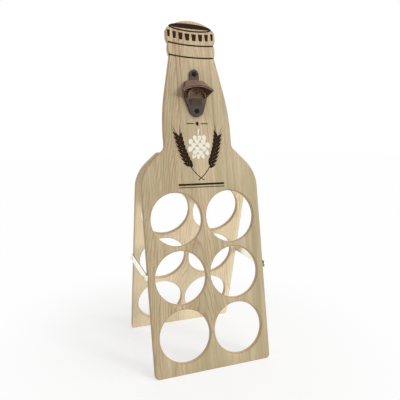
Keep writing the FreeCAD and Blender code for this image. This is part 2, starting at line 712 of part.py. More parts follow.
def make_opener_screws():
    """The two round-head screws that hold the opener."""
    for name, rise in (("opener_lower_screw", "0"), ("opener_upper_screw", "Sizes.opener_screw_pitch")):
        along = f"{OPENER_POSITION} + {rise}"
        seat = f"placement(vector(0; {along}; {THICK} + Sizes.opener_thickness); rotationx(0))"
        radius = "Sizes.opener_screw_radius"
        make_dome_screw(name, radius, "Sizes.opener_screw_length", radius, "0",
                        "Sizes.opener_screw_head_radius", "Sizes.opener_screw_head_height",
                        f"{FRONT} * {seat}")


def check_document():
    """Stop before anything is written if any object failed or any piece is not one valid solid."""
    for item in doc.Objects:
        if {"Invalid", "Error"} & set(item.State):
            raise RuntimeError(f"{item.Label}: {item.State}")
    bodies = [item for item in doc.Objects if item.TypeId == "PartDesign::Body"]
    for body in bodies:
        if body.Shape.isNull() or not body.Shape.isValid() or len(body.Shape.Solids) != 1:
            raise RuntimeError(f"{body.Label}: not one valid solid")
    return bodies


make_front_panel()
make_panel("rear_panel", rear_half(), REAR)
make_opener()
make_opener_screws()
for side_name, sign in (("left", -1), ("right", 1)):
    make_hinge(side_name, f"{sign} * Sizes.hinge_spacing / 2")
    make_stay(side_name, sign)

doc.recompute()
os.makedirs("parts", exist_ok=True)
for body in check_document():
    body.Shape.exportStep(f"parts/{body.Label}.step")
    print(body.Label, round(body.Shape.Volume, 1))
print("hinge axis height", round(number(f"{HINGE_ALONG} * cos({LEAN}) - {AXIS_OFFSET} * sin({LEAN})"), 4))
print("stay pivots at Y", round(number(STAY_HALF_SPAN), 4), "Z", round(number(STAY_HEIGHT), 4))
print("half spread", round(number(HALF_SPREAD), 4))
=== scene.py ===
"""Looks of a folding bottle caddy.

Veneered plywood panels, a brown cast opener, bright hook stays and printed line art.
"""
import json
import logging
import math
from contextlib import contextmanager
from dataclasses import dataclass
from enum import Enum
from typing import Any, Iterator, Sequence

import bmesh
import bpy
from bmesh.types import BMesh, BMVert
from bpy.types import ID, Material, Mesh, Node, NodeSocket, NodeTree, Object
from mathutils import Euler, Matrix, Vector
from mathutils.bvhtree import BVHTree


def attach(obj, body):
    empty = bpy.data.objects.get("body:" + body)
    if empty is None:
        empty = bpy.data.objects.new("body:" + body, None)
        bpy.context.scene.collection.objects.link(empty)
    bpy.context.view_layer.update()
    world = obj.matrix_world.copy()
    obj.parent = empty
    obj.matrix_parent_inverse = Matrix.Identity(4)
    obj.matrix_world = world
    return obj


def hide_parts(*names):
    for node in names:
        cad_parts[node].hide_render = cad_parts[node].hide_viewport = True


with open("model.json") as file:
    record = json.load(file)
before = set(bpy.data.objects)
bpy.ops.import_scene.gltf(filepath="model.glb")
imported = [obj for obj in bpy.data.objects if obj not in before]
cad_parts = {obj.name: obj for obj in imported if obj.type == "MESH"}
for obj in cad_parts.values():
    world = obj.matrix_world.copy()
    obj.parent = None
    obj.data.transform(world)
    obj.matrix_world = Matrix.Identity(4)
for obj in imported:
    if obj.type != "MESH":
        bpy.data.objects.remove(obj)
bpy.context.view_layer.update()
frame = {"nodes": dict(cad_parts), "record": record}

LOG = logging.getLogger("bottle_caddy")
MM = 0.001
MERGE = 1e-6
CREASE, SCREW_CREASE = math.radians(20.0), math.radians(35.0)
SIDES = {"left": -1, "right": 1}
WHITE = (1.0, 1.0, 1.0)
FLOAT, INT, VECTOR = "NodeSocketFloat", "NodeSocketInt", "NodeSocketVector"
GEOMETRY, OBJECT, MATERIAL = "NodeSocketGeometry", "NodeSocketObject", "NodeSocketMaterial"
MIX_FIRST, MIX_SECOND, MIX_RESULT = 6, 7, 2
Pair = tuple[float, float]
Triple = tuple[float, float, float]
Row = tuple[float, ...]
Inputs = dict[int | str, Any]


class Body(Enum):
    """The bodies that move against each other."""

    FRONT = "front"
    REAR = "rear"
    LEFT_STAY = "left_stay"
    RIGHT_STAY = "right_stay"


class Head(Enum):
    """Forms of a screw head."""

    DOME = "dome"
    FLAT = "flat"


class Slot(Enum):
    """Material slots of the record."""

    FRONT_WOOD = "front_wood"
    REAR_WOOD = "rear_wood"
    CAST = "cast_opener"
    OPENER_SCREW = "opener_screw"
    STAY = "stay_steel"
    HINGE = "hinge_steel"
    SCREW = "screw_steel"


def linear(*display: int) -> Triple:
    """Linear colour, as a shader takes it, of a display colour written in 0 to 255."""
    shares = [value / 255 for value in display]
    return tuple(s / 12.92 if s <= 0.04045 else ((s + 0.055) / 1.055) ** 2.4 for s in shares)


def ramp(value: float, low: float, high: float) -> float:
    """0 below a span, 1 above it and a straight rise between."""
    return min(1.0, max(0.0, (value - low) / (high - low)))


@dataclass(frozen=True)
class PanelPlane:
    """Place of a panel: u across, v up from the inner bottom edge, w out of the inner face."""

    body: Body
    lean: float = math.radians(13.8)
    half_spread: float = 81.5017 * MM
    thickness: float = 8.0 * MM

    @property
    def turn(self) -> Triple:
        """Euler turn of the panel's own axes."""
        return math.pi / 2 - self.lean, 0.0, 0.0 if self.body is Body.FRONT else math.pi

    @property
    def root(self) -> Triple:
        """Middle of the panel's inner bottom edge."""
        return 0.0, -self.half_spread if self.body is Body.FRONT else self.half_spread, 0.0

    @property
    def matrix(self) -> Matrix:
        """Transform from panel axes to the object's axes."""
        return Matrix.Translation(self.root) @ Euler(self.turn).to_matrix().to_4x4()

    def at(self, u: float, v: float, w: float) -> Vector:
        """Point of the panel, from millimetres."""
        return self.matrix @ Vector((u * MM, v * MM, w * MM))

    def direction(self, u: float, v: float, w: float) -> Vector:
        """Direction given in panel axes."""
        return self.matrix.to_3x3() @ Vector((u, v, w))


FRONT_PLANE = PanelPlane(Body.FRONT)
REAR_PLANE = PanelPlane(Body.REAR)


@dataclass(frozen=True)
class Grain:
    """A noise: its scale along each axis, its detail and the roughness of that detail."""

    scale: Triple
    detail: float = 2.0
    rough: float = 0.5


@dataclass(frozen=True)
class Term:
    """An output of a node, with which sums and products are written."""

    graph: "Graph"
    socket: NodeSocket

    def __add__(self, other: Any) -> "Term":
        """Sum with a term or number."""
        return self.graph.math("ADD", self, other)

    def __sub__(self, other: Any) -> "Term":
        """Difference from a term or number."""
        return self.graph.math("SUBTRACT", self, other)

    def __mul__(self, other: Any) -> "Term":
        """Product with a term or number."""
        return self.graph.math("MULTIPLY", self, other)

    def __truediv__(self, other: Any) -> "Term":
        """Share of a term or number."""
        return self.graph.math("DIVIDE", self, other)


class Graph:
    """A node tree while it is written."""

    def __init__(self, tree: NodeTree) -> None:
        """Keep the tree and start it empty."""
        self.tree = tree
        tree.nodes.clear()

    def add(self, kind: str, inputs: Inputs | None = None, **settings: Any) -> Node:
        """Add a node.

        Args:
            kind: the node's class name.
            inputs: socket name or index to a value, or to the term or socket that feeds it.
            settings: the node's own options.

        Returns:
            The new node.
        """
        node = self.tree.nodes.new(kind)
        for name, value in settings.items():
            setattr(node, name, value)
        self.fill(node, inputs or {})
        return node

    def fill(self, node: Node, values: Inputs) -> None:
        """Feed a node's inputs, by name or index."""
        for key, value in values.items():
            self.feed(node.inputs[key], value)

    def feed(self, socket: NodeSocket, value: Any) -> None:
        """Link a socket or set its value.

        Args:
            socket: the input socket.
            value: a term or socket to link, or a plain value.
        """
        if isinstance(value, Term):
            value = value.socket
        if isinstance(value, NodeSocket):
            self.tree.links.new(value, socket)
        elif socket.type == "RGBA":
            socket.default_value = (*value, 1.0)
        else:
            socket.default_value = value

    def term(self, kind: str, inputs: Inputs | None = None, output: int | str = 0,
             **settings: Any) -> Term:
        """Add a node, with the arguments of add, and give one of its outputs."""
        return Term(self, self.add(kind, inputs, **settings).outputs[output])

    def math(self, operation: str, *values: Any) -> Term:
        """Result of a Math node over terms or numbers."""
        return self.term("ShaderNodeMath", dict(enumerate(values)), operation=operation)

    def blend(self, factor: Any, first: Any, second: Any) -> Term:
        """Colour between two colours by a factor."""
        inputs = {"Factor": factor, MIX_FIRST: first, MIX_SECOND: second}
        return self.term("ShaderNodeMix", inputs, MIX_RESULT, data_type="RGBA")

    def span(self, value: Any, low: float, high: float, to_low: float = 0.0,
             to_high: float = 1.0, smooth: bool = False) -> Term:
        """A value carried over from one span to another, clamped, with eased ends where smooth."""
        kind = "SMOOTHSTEP" if smooth else "LINEAR"
        return self.term("ShaderNodeMapRange", {0: value, 1: low, 2: high, 3: to_low, 4: to_high},
                         interpolation_type=kind, clamp=True)

    def noise(self, place: Any, grain: Grain, scale: Any = 1.0) -> Term:
        """Noise of a grain at a place, which may be scaled once more."""
        stretched = self.term("ShaderNodeVectorMath", {0: place, 1: grain.scale}, operation="MULTIPLY")
        return self.term("ShaderNodeTexNoise", {"Vector": stretched, "Scale": scale,
                                                "Detail": grain.detail, "Roughness": grain.rough})

    def vector(self, x: Any = 0.0, y: Any = 0.0, z: Any = 0.0) -> Term:
        """A vector from its three parts."""
        return self.term("ShaderNodeCombineXYZ", {0: x, 1: y, 2: z})

    def split(self, vector: Any) -> list[Term]:
        """The three parts of a vector."""
        return [Term(self, part) for part in self.add("ShaderNodeSeparateXYZ", {0: vector}).outputs]

    def place(self) -> Term:
        """Place on the object in metres."""
        return self.term("ShaderNodeTexCoord", output="Object")

    def panel_place(self, plane: PanelPlane) -> Term:
        """Place on the object in a panel's own axes, in metres."""
        inputs = {"Vector": self.place(), "Location": plane.root, "Rotation": plane.turn}
        return self.term("ShaderNodeMapping", inputs, vector_type="TEXTURE")

    def group(self, tree: NodeTree, inputs: Inputs) -> dict[str, Term]:
        """Outputs, by name, of a shader group that is placed with its inputs."""
        node = self.add("ShaderNodeGroup", inputs, node_tree=tree)
        return {out.name: Term(self, out) for out in node.outputs}

    def attribute(self, name: str) -> Term:
        """A value that the mesh keeps."""
        return self.term("ShaderNodeAttribute", output="Fac", attribute_name=name)

    def seen(self) -> Term:
        """1 for the camera, mirrors and glass, 0 for plain light."""
        eye, mirror, glass = (self.term("ShaderNodeLightPath", output=f"Is {kind} Ray")
                              for kind in ("Camera", "Glossy", "Transmission"))
        return self.math("MAXIMUM", self.math("MAXIMUM", eye, mirror), glass)


def floats(*names: str) -> dict[str, str]:
    """Sockets that hold one number each."""
    return dict.fromkeys(names, FLOAT)


class Group(Graph):
    """A node group with named sockets."""

    def __init__(self, name: str, inputs: dict[str, str], outputs: dict[str, str],
                 kind: str = "ShaderNodeTree") -> None:
        """Make the group.

        Args:
            name: name of the group.
            inputs: socket names and types.
            outputs: socket names and types.
            kind: class of the tree.
        """
        super().__init__(bpy.data.node_groups.new(name, kind))
        for way, sockets in (("INPUT", inputs), ("OUTPUT", outputs)):
            for socket, socket_type in sockets.items():
                self.tree.interface.new_socket(socket, in_out=way, socket_type=socket_type)
        self.result = self.add("NodeGroupOutput")
        given = self.add("NodeGroupInput").outputs
        self.take = {out.name: Term(self, out) for out in given if out.name}

    def give(self, values: Inputs) -> NodeTree:
        """The finished group, with its outputs fed by name."""
        self.fill(self.result, values)
        return self.tree


@dataclass(frozen=True)
class VeneerFigure:
    """Flat-cut veneer on panel coordinates: broad tone, arched growth lines, fibres and pores."""

    sway: float = 50.0
    sway_grain: Grain = Grain((0.013, 0.0045, 0.02))
    heart_round: float = 60.0
    rings_along: float = 0.026
    rings_across: float = 0.2
    ring_rough: float = 2.2
    ring_grain: Grain = Grain((0.12, 0.01, 0.2), 4.0)
    line_span: Pair = (0.35, 0.9)
    line_power: float = 2.6
    patch_grain: Grain = Grain((0.022, 0.007, 0.03))
    patch_span: Pair = (0.38, 0.58)
    calm_span: Pair = (5.0, 55.0)
    calm_share: float = 0.3
    tone_grain: Grain = Grain((0.05, 0.003, 0.05), 3.0)
    coarse_grain: Grain = Grain((0.24, 0.0042, 0.3), 6.0, 0.72)
    coarse_share: float = 0.6
    fine_grain: Grain = Grain((1.1, 0.022, 1.1), 3.0, 0.6)
    pore_grain: Grain = Grain((1.3, 0.05, 1.3))
    pore_span: Pair = (0.6, 0.72)

    def build(self) -> NodeTree:
        """Write the group, which works in millimetres inside.

        Returns:
            The group.
        """
        group = Group("veneer_figure", {"Place": VECTOR, **floats("Heart", "Shift")},
                      floats("Tone", "Lines", "Fibres", "Pores"))
        place = group.term("ShaderNodeVectorMath", {
            0: group.take["Place"], 1: (1 / MM, 1 / MM, 1 / MM),
            2: group.vector(z=group.take["Shift"])}, operation="MULTIPLY_ADD")
        across, along, _ = group.split(place)
        sway = (group.noise(place, self.sway_grain) - 0.5) * self.sway
        off_heart = across - group.take["Heart"] + sway
        arch = group.math("SQRT", off_heart * off_heart + self.heart_round)
        rough = group.noise(place, self.ring_grain) * self.ring_rough
        ring = group.math("FRACT", along * self.rings_along + arch * self.rings_across + rough)
        line = group.math("POWER", group.span(ring, *self.line_span), self.line_power)
        fall = group.span(ring, self.line_span[1], 1.0, 1.0, 0.0)
        patchy = group.span(group.noise(place, self.patch_grain), *self.patch_span, smooth=True)
        calm = group.span(across, *self.calm_span, 1.0, self.calm_share)
        coarse = group.noise(place, self.coarse_grain) * self.coarse_share
        fine = group.noise(place, self.fine_grain) * (1 - self.coarse_share)
        return group.give({
            "Tone": group.noise(place, self.tone_grain),
            "Lines": line * fall * patchy * calm,
            "Fibres": coarse + fine,
            "Pores": group.span(group.noise(place, self.pore_grain), *self.pore_span, smooth=True)})


@dataclass(frozen=True)
class PlyEdge:
    """Cut edge of plywood: masks of the edge, its layers and its two rims, by share of the thickness."""

    half_edge: float = 0.4975
    layers: float = 5.0
    layer_span: Pair = (0.32, 0.68)
    waver: float = 0.22
    waver_grain: Grain = Grain((160.0, 160.0, 500.0), 3.0)
    outer_span: Pair = (0.88, 0.905)
    inner_span: Pair = (0.15, 0.24)

    def build(self) -> NodeTree:
        """Write the group.

        Returns:
            The group.
        """
        group = Group("ply_edge", {"Place": VECTOR, **floats("Thickness")},
                      floats("Edge", "Layers", "Outer Rim", "Inner Rim"))
        place = group.take["Place"]
        depth = group.split(place)[2]
        share = depth / group.take["Thickness"]
        layer = share * self.layers + group.noise(place, self.waver_grain) * self.waver
        return group.give({
            "Edge": group.math("LESS_THAN", group.math("ABSOLUTE", share - 0.5), self.half_edge),
            "Layers": group.span(group.math("PINGPONG", layer, 1.0), *self.layer_span, smooth=True),
            "Outer Rim": group.span(share, *self.outer_span, smooth=True),
            "Inner Rim": group.span(share, *self.inner_span, 1.0, 0.0, smooth=True)})


@dataclass(frozen=True)
class Speckle:
    """Uneven surface of metal: soft clouds, fine grit and brushed streaks."""

    clouds: Grain = Grain((120.0, 120.0, 120.0), 3.0)
    grit: Grain = Grain((1.0, 1.0, 1.0), 3.0, 0.6)
    streaks: Grain = Grain((60.0, 60.0, 2600.0), 3.0)

    def build(self) -> NodeTree:
        """Write the group.

        Returns:
            The group.
        """
        group = Group("surface_speckle", {"Place": VECTOR, **floats("Grit")},
                      floats("Clouds", "Grit", "Streaks"))
        place = group.take["Place"]
        return group.give({
            "Clouds": group.noise(place, self.clouds),
            "Grit": group.noise(place, self.grit, group.take["Grit"]),
            "Streaks": group.noise(place, self.streaks)})


VENEER = VeneerFigure().build()
PLY = PlyEdge().build()
SPECKLE = Speckle().build()


class Surface(Graph):
    """A material with a Principled shader."""

    def __init__(self, name: str) -> None:
        """Make the material and wire its shader to the output.

        Args:
            name: name of the material.
        """
        self.material = bpy.data.materials.new(name)
        self.material.use_nodes = True
        super().__init__(self.material.node_tree)
        self.shader = self.add("ShaderNodeBsdfPrincipled")
        self.add("ShaderNodeOutputMaterial", {"Surface": self.shader.outputs["BSDF"]})

    def bump(self, strength: float, distance: float, height: Term) -> Term:
        """Normal of a surface raised by a height."""
        inputs = {"Strength": strength, "Distance": distance, "Height": height}
        return self.term("ShaderNodeBump", inputs)

    def wire(self, values: Inputs) -> Material:
        """The finished material, with its shader fed by name."""
        self.fill(self.shader, values)
        return self.material


@dataclass(frozen=True)
class Streak:
    """A single long streak of darker wood, in panel millimetres."""

    across: float
    width: float
    weight: float
    foot: float


@dataclass(frozen=True)
class VeneerFinish:
    """Clear-coated veneer on a panel's faces, bare plywood on its cut edges."""

    name: str
    face: Triple
    flush: Triple
    line: Triple
    streak: Triple
    edge: Triple
    layer: Triple
    # On the front veneer the outer rim is partly a burnt line and partly painted shade, and the inner
    # rim is a painted highlight.
    outer_rim: Triple
    inner_rim: Triple
    heart: float
    shift: float
    streaks: tuple[Streak, ...] = ()
    streak_drift: float = 5.0
    streak_start: float = 40.0
    streak_break: Row = (0.25, 0.6, 0.45, 1.0)
    flush_span: Pair = (0.3, 0.7)
    flush_rise: Pair = (400.0 * MM, 470.0 * MM)
    fibre_span: Row = (0.37, 0.65, 0.0, 0.88)
    line_weight: float = 0.72
    pore_weight: float = 0.35
    rough_span: Row = (0.3, 0.75, 0.52, 0.66)
    specular: float = 0.3
    relief: float = 0.3 * MM
    relief_strength: float = 0.25
    fibre_relief: float = 0.5
    pore_relief: float = 0.6

    def build(self, plane: PanelPlane) -> Material:
        """Write the material.

        Args:
            plane: the panel that it covers.

        Returns:
            The material.
        """
        surface = Surface(self.name)
        place = surface.panel_place(plane)
        across, rise, _ = surface.split(place)
        veneer = surface.group(VENEER, {"Place": place, "Heart": self.heart, "Shift": self.shift})
        ply = surface.group(PLY, {"Place": place, "Thickness": plane.thickness})
        fibres, pores = veneer["Fibres"], veneer["Pores"]
        flush = surface.math("MAXIMUM", surface.span(veneer["Tone"], *self.flush_span),
                             surface.span(rise, *self.flush_rise))
        colour = surface.blend(flush, self.face, self.flush)
        colour = surface.blend(surface.span(fibres, *self.fibre_span), colour, self.line)
        colour = surface.blend(veneer["Lines"] * self.line_weight, colour, self.streak)
        colour = surface.blend(pores * self.pore_weight, colour, self.streak)
        if self.streaks:
            broken = surface.span(fibres, *self.streak_break)
            mask = self.streak_mask(surface, across, rise, veneer["Tone"]) * broken
            colour = surface.blend(mask, colour, self.streak)
        cut = surface.blend(ply["Layers"], self.edge, self.layer)
        cut = surface.blend(ply["Outer Rim"], cut, self.outer_rim)
        cut = surface.blend(ply["Inner Rim"], cut, self.inner_rim)
        height = fibres * self.fibre_relief - pores * self.pore_relief
        return surface.wire({
            "Base Color": surface.blend(ply["Edge"], colour, cut),
            "Roughness": surface.span(fibres, *self.rough_span),
            "Specular IOR Level": self.specular,
            "Normal": surface.bump(self.relief_strength, self.relief, height)})

    def streak_mask(self, surface: Surface, across: Term, rise: Term, tone: Term) -> Term:
        """Mask of the single streaks.

        Args:
            surface: the material's graph.
            across: place across the panel.
            rise: place up the panel.
            tone: the veneer's broad tone, which the streaks drift with.

        Returns:
            The mask.
        """
        drifted = (tone - 0.5) * (self.streak_drift * MM) + across
        mask: Any = 0.0
        for streak in self.streaks:
            off = surface.math("ABSOLUTE", drifted - streak.across * MM)
            band = surface.span(off, 0.0, streak.width * MM, streak.weight, 0.0, smooth=True)
            top = streak.foot + self.streak_start
            start = surface.span(rise, streak.foot * MM, top * MM, smooth=True)
            mask = surface.math("MAXIMUM", mask, band * start)
        return mask


@dataclass(frozen=True)
class MetalFinish:
    """Metal with clouds, grit and brushed streaks, and the marks that its piece keeps, some of them
    painted light and painted shade.
    """

    name: str
    colour: Triple
    second: Triple
    metallic: float
    rough: Pair
    grit: float
    relief: float
    streaked: bool = False
    specular: float = 0.5
    # Colour of rubbed edges, which also serves as painted light where the piece marks its faces as lit.
    worn_and_lit: Triple | None = None
    # Painted light: a colour laid into hollows, where shade falls, to lift them.
    painted_hollow_light: Triple | None = None
    # Painted shade: a darker colour on the faces that the piece marks.
    painted_edge_shade: Triple | None = None
    cloud_span: Pair = (0.35, 0.65)
    worn_and_lit_break: Row = (0.3, 0.6, 0.45, 1.0)
    painted_hollow_span: Pair = (0.3, 0.95)
    fleck_span: Pair = (0.3, 0.7)
    relief_strength: float = 0.5

    def build(self) -> Material:
        """Write the material.

        Returns:
            The material.
        """
        surface = Surface(self.name)
        speckle = surface.group(SPECKLE, {"Place": surface.place(), "Grit": self.grit})
        clouds = surface.span(speckle["Clouds"], *self.cloud_span)
        colour = surface.blend(clouds, self.colour, self.second)
        # Rubbed edges and painted light on the marked faces share the lighter colour.
        if self.worn_and_lit:
            broken = surface.span(speckle["Grit"], *self.worn_and_lit_break)
            colour = surface.blend(surface.attribute("wear_and_light") * broken, colour, self.worn_and_lit)
        # Painted light in hollows: the less open a point is, the more it takes the hollow colour.
        if self.painted_hollow_light:
            opened = surface.span(surface.attribute("open"), *self.painted_hollow_span)
            colour = surface.blend(opened, self.painted_hollow_light, colour)
        # Painted shade on the marked faces.
        if self.painted_edge_shade:
            colour = surface.blend(surface.attribute("painted_edge_shade"), colour, self.painted_edge_shade)
        fleck = speckle["Streaks" if self.streaked else "Grit"]
        return surface.wire({
            "Base Color": colour,
            "Metallic": self.metallic,
            "Roughness": surface.span(fleck, *self.fleck_span, *self.rough),
            "Specular IOR Level": self.specular,
            "Normal": surface.bump(self.relief_strength, self.relief, fleck)})


@dataclass(frozen=True)
class InkFinish:
    """Printed ink that lets a little of the grain show."""

    name: str
    colour: Triple
    thin: Triple
    thin_span: Row = (0.52, 0.72, 0.0, 0.55)
    rough_span: Row = (0.3, 0.7, 0.55, 0.7)
    specular: float = 0.05

    def build(self, plane: PanelPlane) -> Material:
        """Write the material.

        Args:
            plane: the panel that it is printed on.

        Returns:
            The material.
        """
        surface = Surface(self.name)
        fibres = surface.group(VENEER, {"Place": surface.panel_place(plane)})["Fibres"]
        return surface.wire({
            "Base Color": surface.blend(surface.span(fibres, *self.thin_span), self.colour, self.thin),
            "Roughness": surface.span(fibres, *self.rough_span),
            "Specular IOR Level": self.specular})


def add_object(name: str, data: ID) -> Object:
    """Link a mesh, lamp or camera into the scene as an object at the origin.

    Args:
        name: name of the object.
        data: what it shows.

    Returns:
        The object.
    """
    thing = bpy.data.objects.new(name, data)
    bpy.context.scene.collection.objects.link(thing)
    return thing


@contextmanager
def editing(mesh: Mesh) -> Iterator[BMesh]:
    """Open a mesh for editing and write it back.

    Args:
        mesh: the mesh.

    Returns:
        The open mesh, inside a with statement.
    """
    work = bmesh.new()
    work.from_mesh(mesh)
    yield work
    work.to_mesh(mesh)
    work.free()


def fix_normals(mesh: Mesh, smooth_angle: float | None = None) -> None:
    """Merge doubles, turn faces outwards and set the shading.

    Args:
        mesh: the mesh to finish.
        smooth_angle: edges sharper than this stay sharp; None leaves the faces flat.
    """
    with editing(mesh) as work:
        bmesh.ops.remove_doubles(work, verts=work.verts, dist=MERGE)
        bmesh.ops.recalc_face_normals(work, faces=work.faces)
    if smooth_angle is not None:
        mesh.polygons.foreach_set("use_smooth", [True] * len(mesh.polygons))
        mesh.set_sharp_from_angle(angle=smooth_angle)


def bare_copy(node: str) -> Mesh:
    """Copy of a CAD node's mesh with no material.

    Args:
        node: name of the node.

    Returns:
        The copy.
    """
    mesh = frame["nodes"][node].data.copy()
    mesh.materials.clear()
    return mesh


def keep_values(mesh: Mesh, name: str, domain: str, values: Sequence[float]) -> None:
    """Keep one value for each point or face of a mesh."""
    mesh.attributes.new(name, "FLOAT", domain).data.foreach_set("value", values)


def apply_modifiers(piece: Object) -> None:
    """Replace an object's mesh by its evaluated one and remove the modifiers.

    Args:
        piece: the object.
    """
    graph = bpy.context.evaluated_depsgraph_get()
    mesh = bpy.data.meshes.new_from_object(piece.evaluated_get(graph), depsgraph=graph)
    piece.modifiers.clear()
    piece.data = mesh


def grown(name: str, tree: NodeTree, values: dict[str, Any], mesh: Mesh | None = None) -> Object:
    """Object made by a Geometry Nodes tree, turned into a plain mesh.

    Args:
        name: name of the object.
        tree: the tree.
        values: input names and their values.
        mesh: what the tree starts from, where it doesn't make all its geometry.

    Returns:
        The object, with no modifier left on it.
    """
    piece = add_object(name, mesh or bpy.data.meshes.new(name))
    modifier = piece.modifiers.new("grown", "NODES")
    modifier.node_group = tree
    sockets = {item.name: item.identifier for item in tree.interface.items_tree
               if item.item_type == "SOCKET" and item.in_out == "INPUT"}
    for key, value in values.items():
        modifier[sockets[key]] = value
    apply_modifiers(piece)
    return piece


def ride(piece: Object, body: Body, nodes: Sequence[str] = ()) -> None:
    """Tie a piece to the part and report it.

    Args:
        piece: the finished piece.
        body: the body that it moves with.
        nodes: the CAD nodes that it stands for.
    """
    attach(piece, body.value)
    if nodes:
        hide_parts(*nodes)
    LOG.info("piece %s rides on %s", piece.name, body.value)


def dress_node(name: str, material: Material) -> None:
    """Give a CAD node its material and report it.

    Args:
        name: name of the node.
        material: its finish.
    """
    node = frame["nodes"][name]
    node.data.materials.clear()
    node.data.materials.append(material)
    LOG.info("node %s gets %s", name, material.name)


def dress_pair(piece: Object, node: str, material: Material, body: Body) -> None:
    """Dress a piece and the CAD node that it stands for.

    Args:
        piece: the finished piece.
        node: name of the node.
        material: the finish of both.
        body: the body that they move with.
    """
    dress_node(node, material)
    piece.data.materials.append(material)
    ride(piece, body, [node])


@dataclass(frozen=True)
class Rounding:
    """Two-step rounding of the rims of a piece's two flat faces, in axes whose Z crosses them."""

    ease: float
    width: float
    turn_share: float = 0.293
    flat: float = 0.999
    level_play: float = 0.01 * MM
    digits: int = 7

    def apply(self, mesh: Mesh, axes: Matrix) -> None:
        """Round both faces of a piece.

        Args:
            mesh: the piece, whose doubles are merged first.
            axes: transform from the rounding's axes to the piece's.
        """
        mesh.transform(axes.inverted())
        with editing(mesh) as work:
            bmesh.ops.remove_doubles(work, verts=work.verts, dist=MERGE)
            heights = [vert.co.z for vert in work.verts]
            for level, facing in ((max(heights), 1), (min(heights), -1)):
                self.round_face(work, level, facing)
        mesh.transform(axes)

    def key(self, vert: BMVert) -> Row:
        """Rounded place of a point, to find it again after an inset."""
        return tuple(round(c, self.digits) for c in vert.co)

    def round_face(self, work: BMesh, level: float, facing: int) -> None:
        """Round the rim of one face.

        Args:
            work: the merged piece.
            level: height of the face.
            facing: 1 where the face looks up, -1 where it looks down.
        """
        work.normal_update()
        faces = [f for f in work.faces if f.normal.z * facing > self.flat
                 and abs(f.calc_center_median().z - level) < self.level_play]
        inner = set(faces)
        slide = {}
        for vert in {v for f in faces for v in f.verts}:
            walls = [f.normal for f in vert.link_faces if f not in inner]
            if walls:
                wall = sum(walls, Vector()).normalized()
                down = Vector((0, 0, -facing))
                down -= down.dot(wall) * wall
                slide[self.key(vert)] = down / abs(down.z)
        outer_ring, inner_ring = [
            set(bmesh.ops.inset_region(work, faces=faces, thickness=self.width * share,
                                       use_even_offset=True, use_boundary=True)["faces"])
            for share in (self.turn_share, 1 - self.turn_share)]
        for vert in {v for f in outer_ring for v in f.verts}:
            key = self.key(vert)
            if key in slide:
                vert.co += slide[key] * self.ease
            elif any(f in inner_ring for f in vert.link_faces):
                vert.co.z -= facing * self.ease * self.turn_share


@dataclass
class Panel:
    """A plywood panel with eased edges."""

    node: str
    plane: PanelPlane
    slot: Slot
    finish: VeneerFinish
    rounding: Rounding = Rounding(0.8 * MM, 1.1 * MM)

    def build(self) -> Object:
        """Ease the edges of a copy of the panel's solid, and keep its foot on the floor.

        Returns:
            The panel, in place.
        """
        mesh = bare_copy(self.node)
        self.rounding.apply(mesh, self.plane.matrix)
        up = self.plane.direction(0, 1, 0)
        for vert in mesh.vertices:
            if vert.co.z < 0:
                vert.co -= up * (vert.co.z / up.z)
        fix_normals(mesh, CREASE)
        return add_object(self.node + "_eased", mesh)

    def dress(self, piece: Object) -> None:
        """Give the panel and its node the veneer, and the piece its place."""
        dress_pair(piece, self.node, self.finish.build(self.plane), self.plane.body)


class GeometryGroup(Group):
    """A Geometry Nodes tree that ends in real geometry with its material."""

    def __init__(self, name: str, inputs: dict[str, str]) -> None:
        """Make the tree with its inputs and one for the material."""
        super().__init__(name, {**inputs, "Material": MATERIAL}, {"Geometry": GEOMETRY},
                         "GeometryNodeTree")

    def geo(self, kind: str, inputs: Inputs | None = None, output: int | str = 0,
            **settings: Any) -> Term:
        """Add a geometry node, with the arguments of term, and give one of its outputs."""
        return self.term("GeometryNode" + kind, inputs, output, **settings)

    def rotation(self, angles: Term) -> Term:
        """Rotation from three angles."""
        return self.term("FunctionNodeEulerToRotation", {0: angles})

    def copies(self, points: Any, model: Term, **inputs: Any) -> Term:
        """A model on each point, with the node's other inputs by name."""
        return self.geo("InstanceOnPoints", {"Points": points, "Instance": model, **inputs})

    def finish(self, geometry: Term) -> NodeTree:
        """Make copies real and give them the material.

        Args:
            geometry: what the tree has made.

        Returns:
            The finished tree.
        """
        real = self.geo("RealizeInstances", {0: geometry})
        coated = self.geo("SetMaterial", {"Geometry": real, "Material": self.take["Material"]})
        return self.give({"Geometry": coated})


def make_screw_tree() -> NodeTree:
    """A screw on each point, turned by the point's own angles.

    Returns:
        The tree.
    """
    group = GeometryGroup("screw_set", {"Geometry": GEOMETRY, "Screw": OBJECT})
    model = group.geo("ObjectInfo", {"Object": group.take["Screw"]}, "Geometry")
    angles = group.geo("InputNamedAttribute", {"Name": "turn"}, "Attribute", data_type="FLOAT_VECTOR")
    return group.finish(group.copies(group.take["Geometry"], model, Rotation=group.rotation(angles)))


def close_band(work: BMesh, upper: Sequence[BMVert],
               lower: Sequence[BMVert]) -> None:
    """Close the wall between two rings of points.

    Args:
        work: the open mesh.
        upper: points of the upper ring.
        lower: points of the lower ring, in the same order.
    """
    for i in range(len(upper)):
        j = (i + 1) % len(upper)
        work.faces.new((upper[i], lower[i], lower[j], upper[j]))


def flat_plate(outline: Sequence[Pair], low: float, high: float) -> Object:
    """Thin plate from an outline in millimetres.

    Args:
        outline: corners across and up.
        low: level of the underside.
        high: level of the top.

    Returns:
        The plate, not yet moved to its place.
    """
    mesh = bpy.data.meshes.new("plate")
    with editing(mesh) as work:
        lower, upper = [[work.verts.new((u * MM, v * MM, level * MM)) for u, v in outline]
                        for level in (low, high)]
        work.faces.new(lower)
        work.faces.new(upper)
        close_band(work, upper, lower)
    return add_object("plate", mesh)


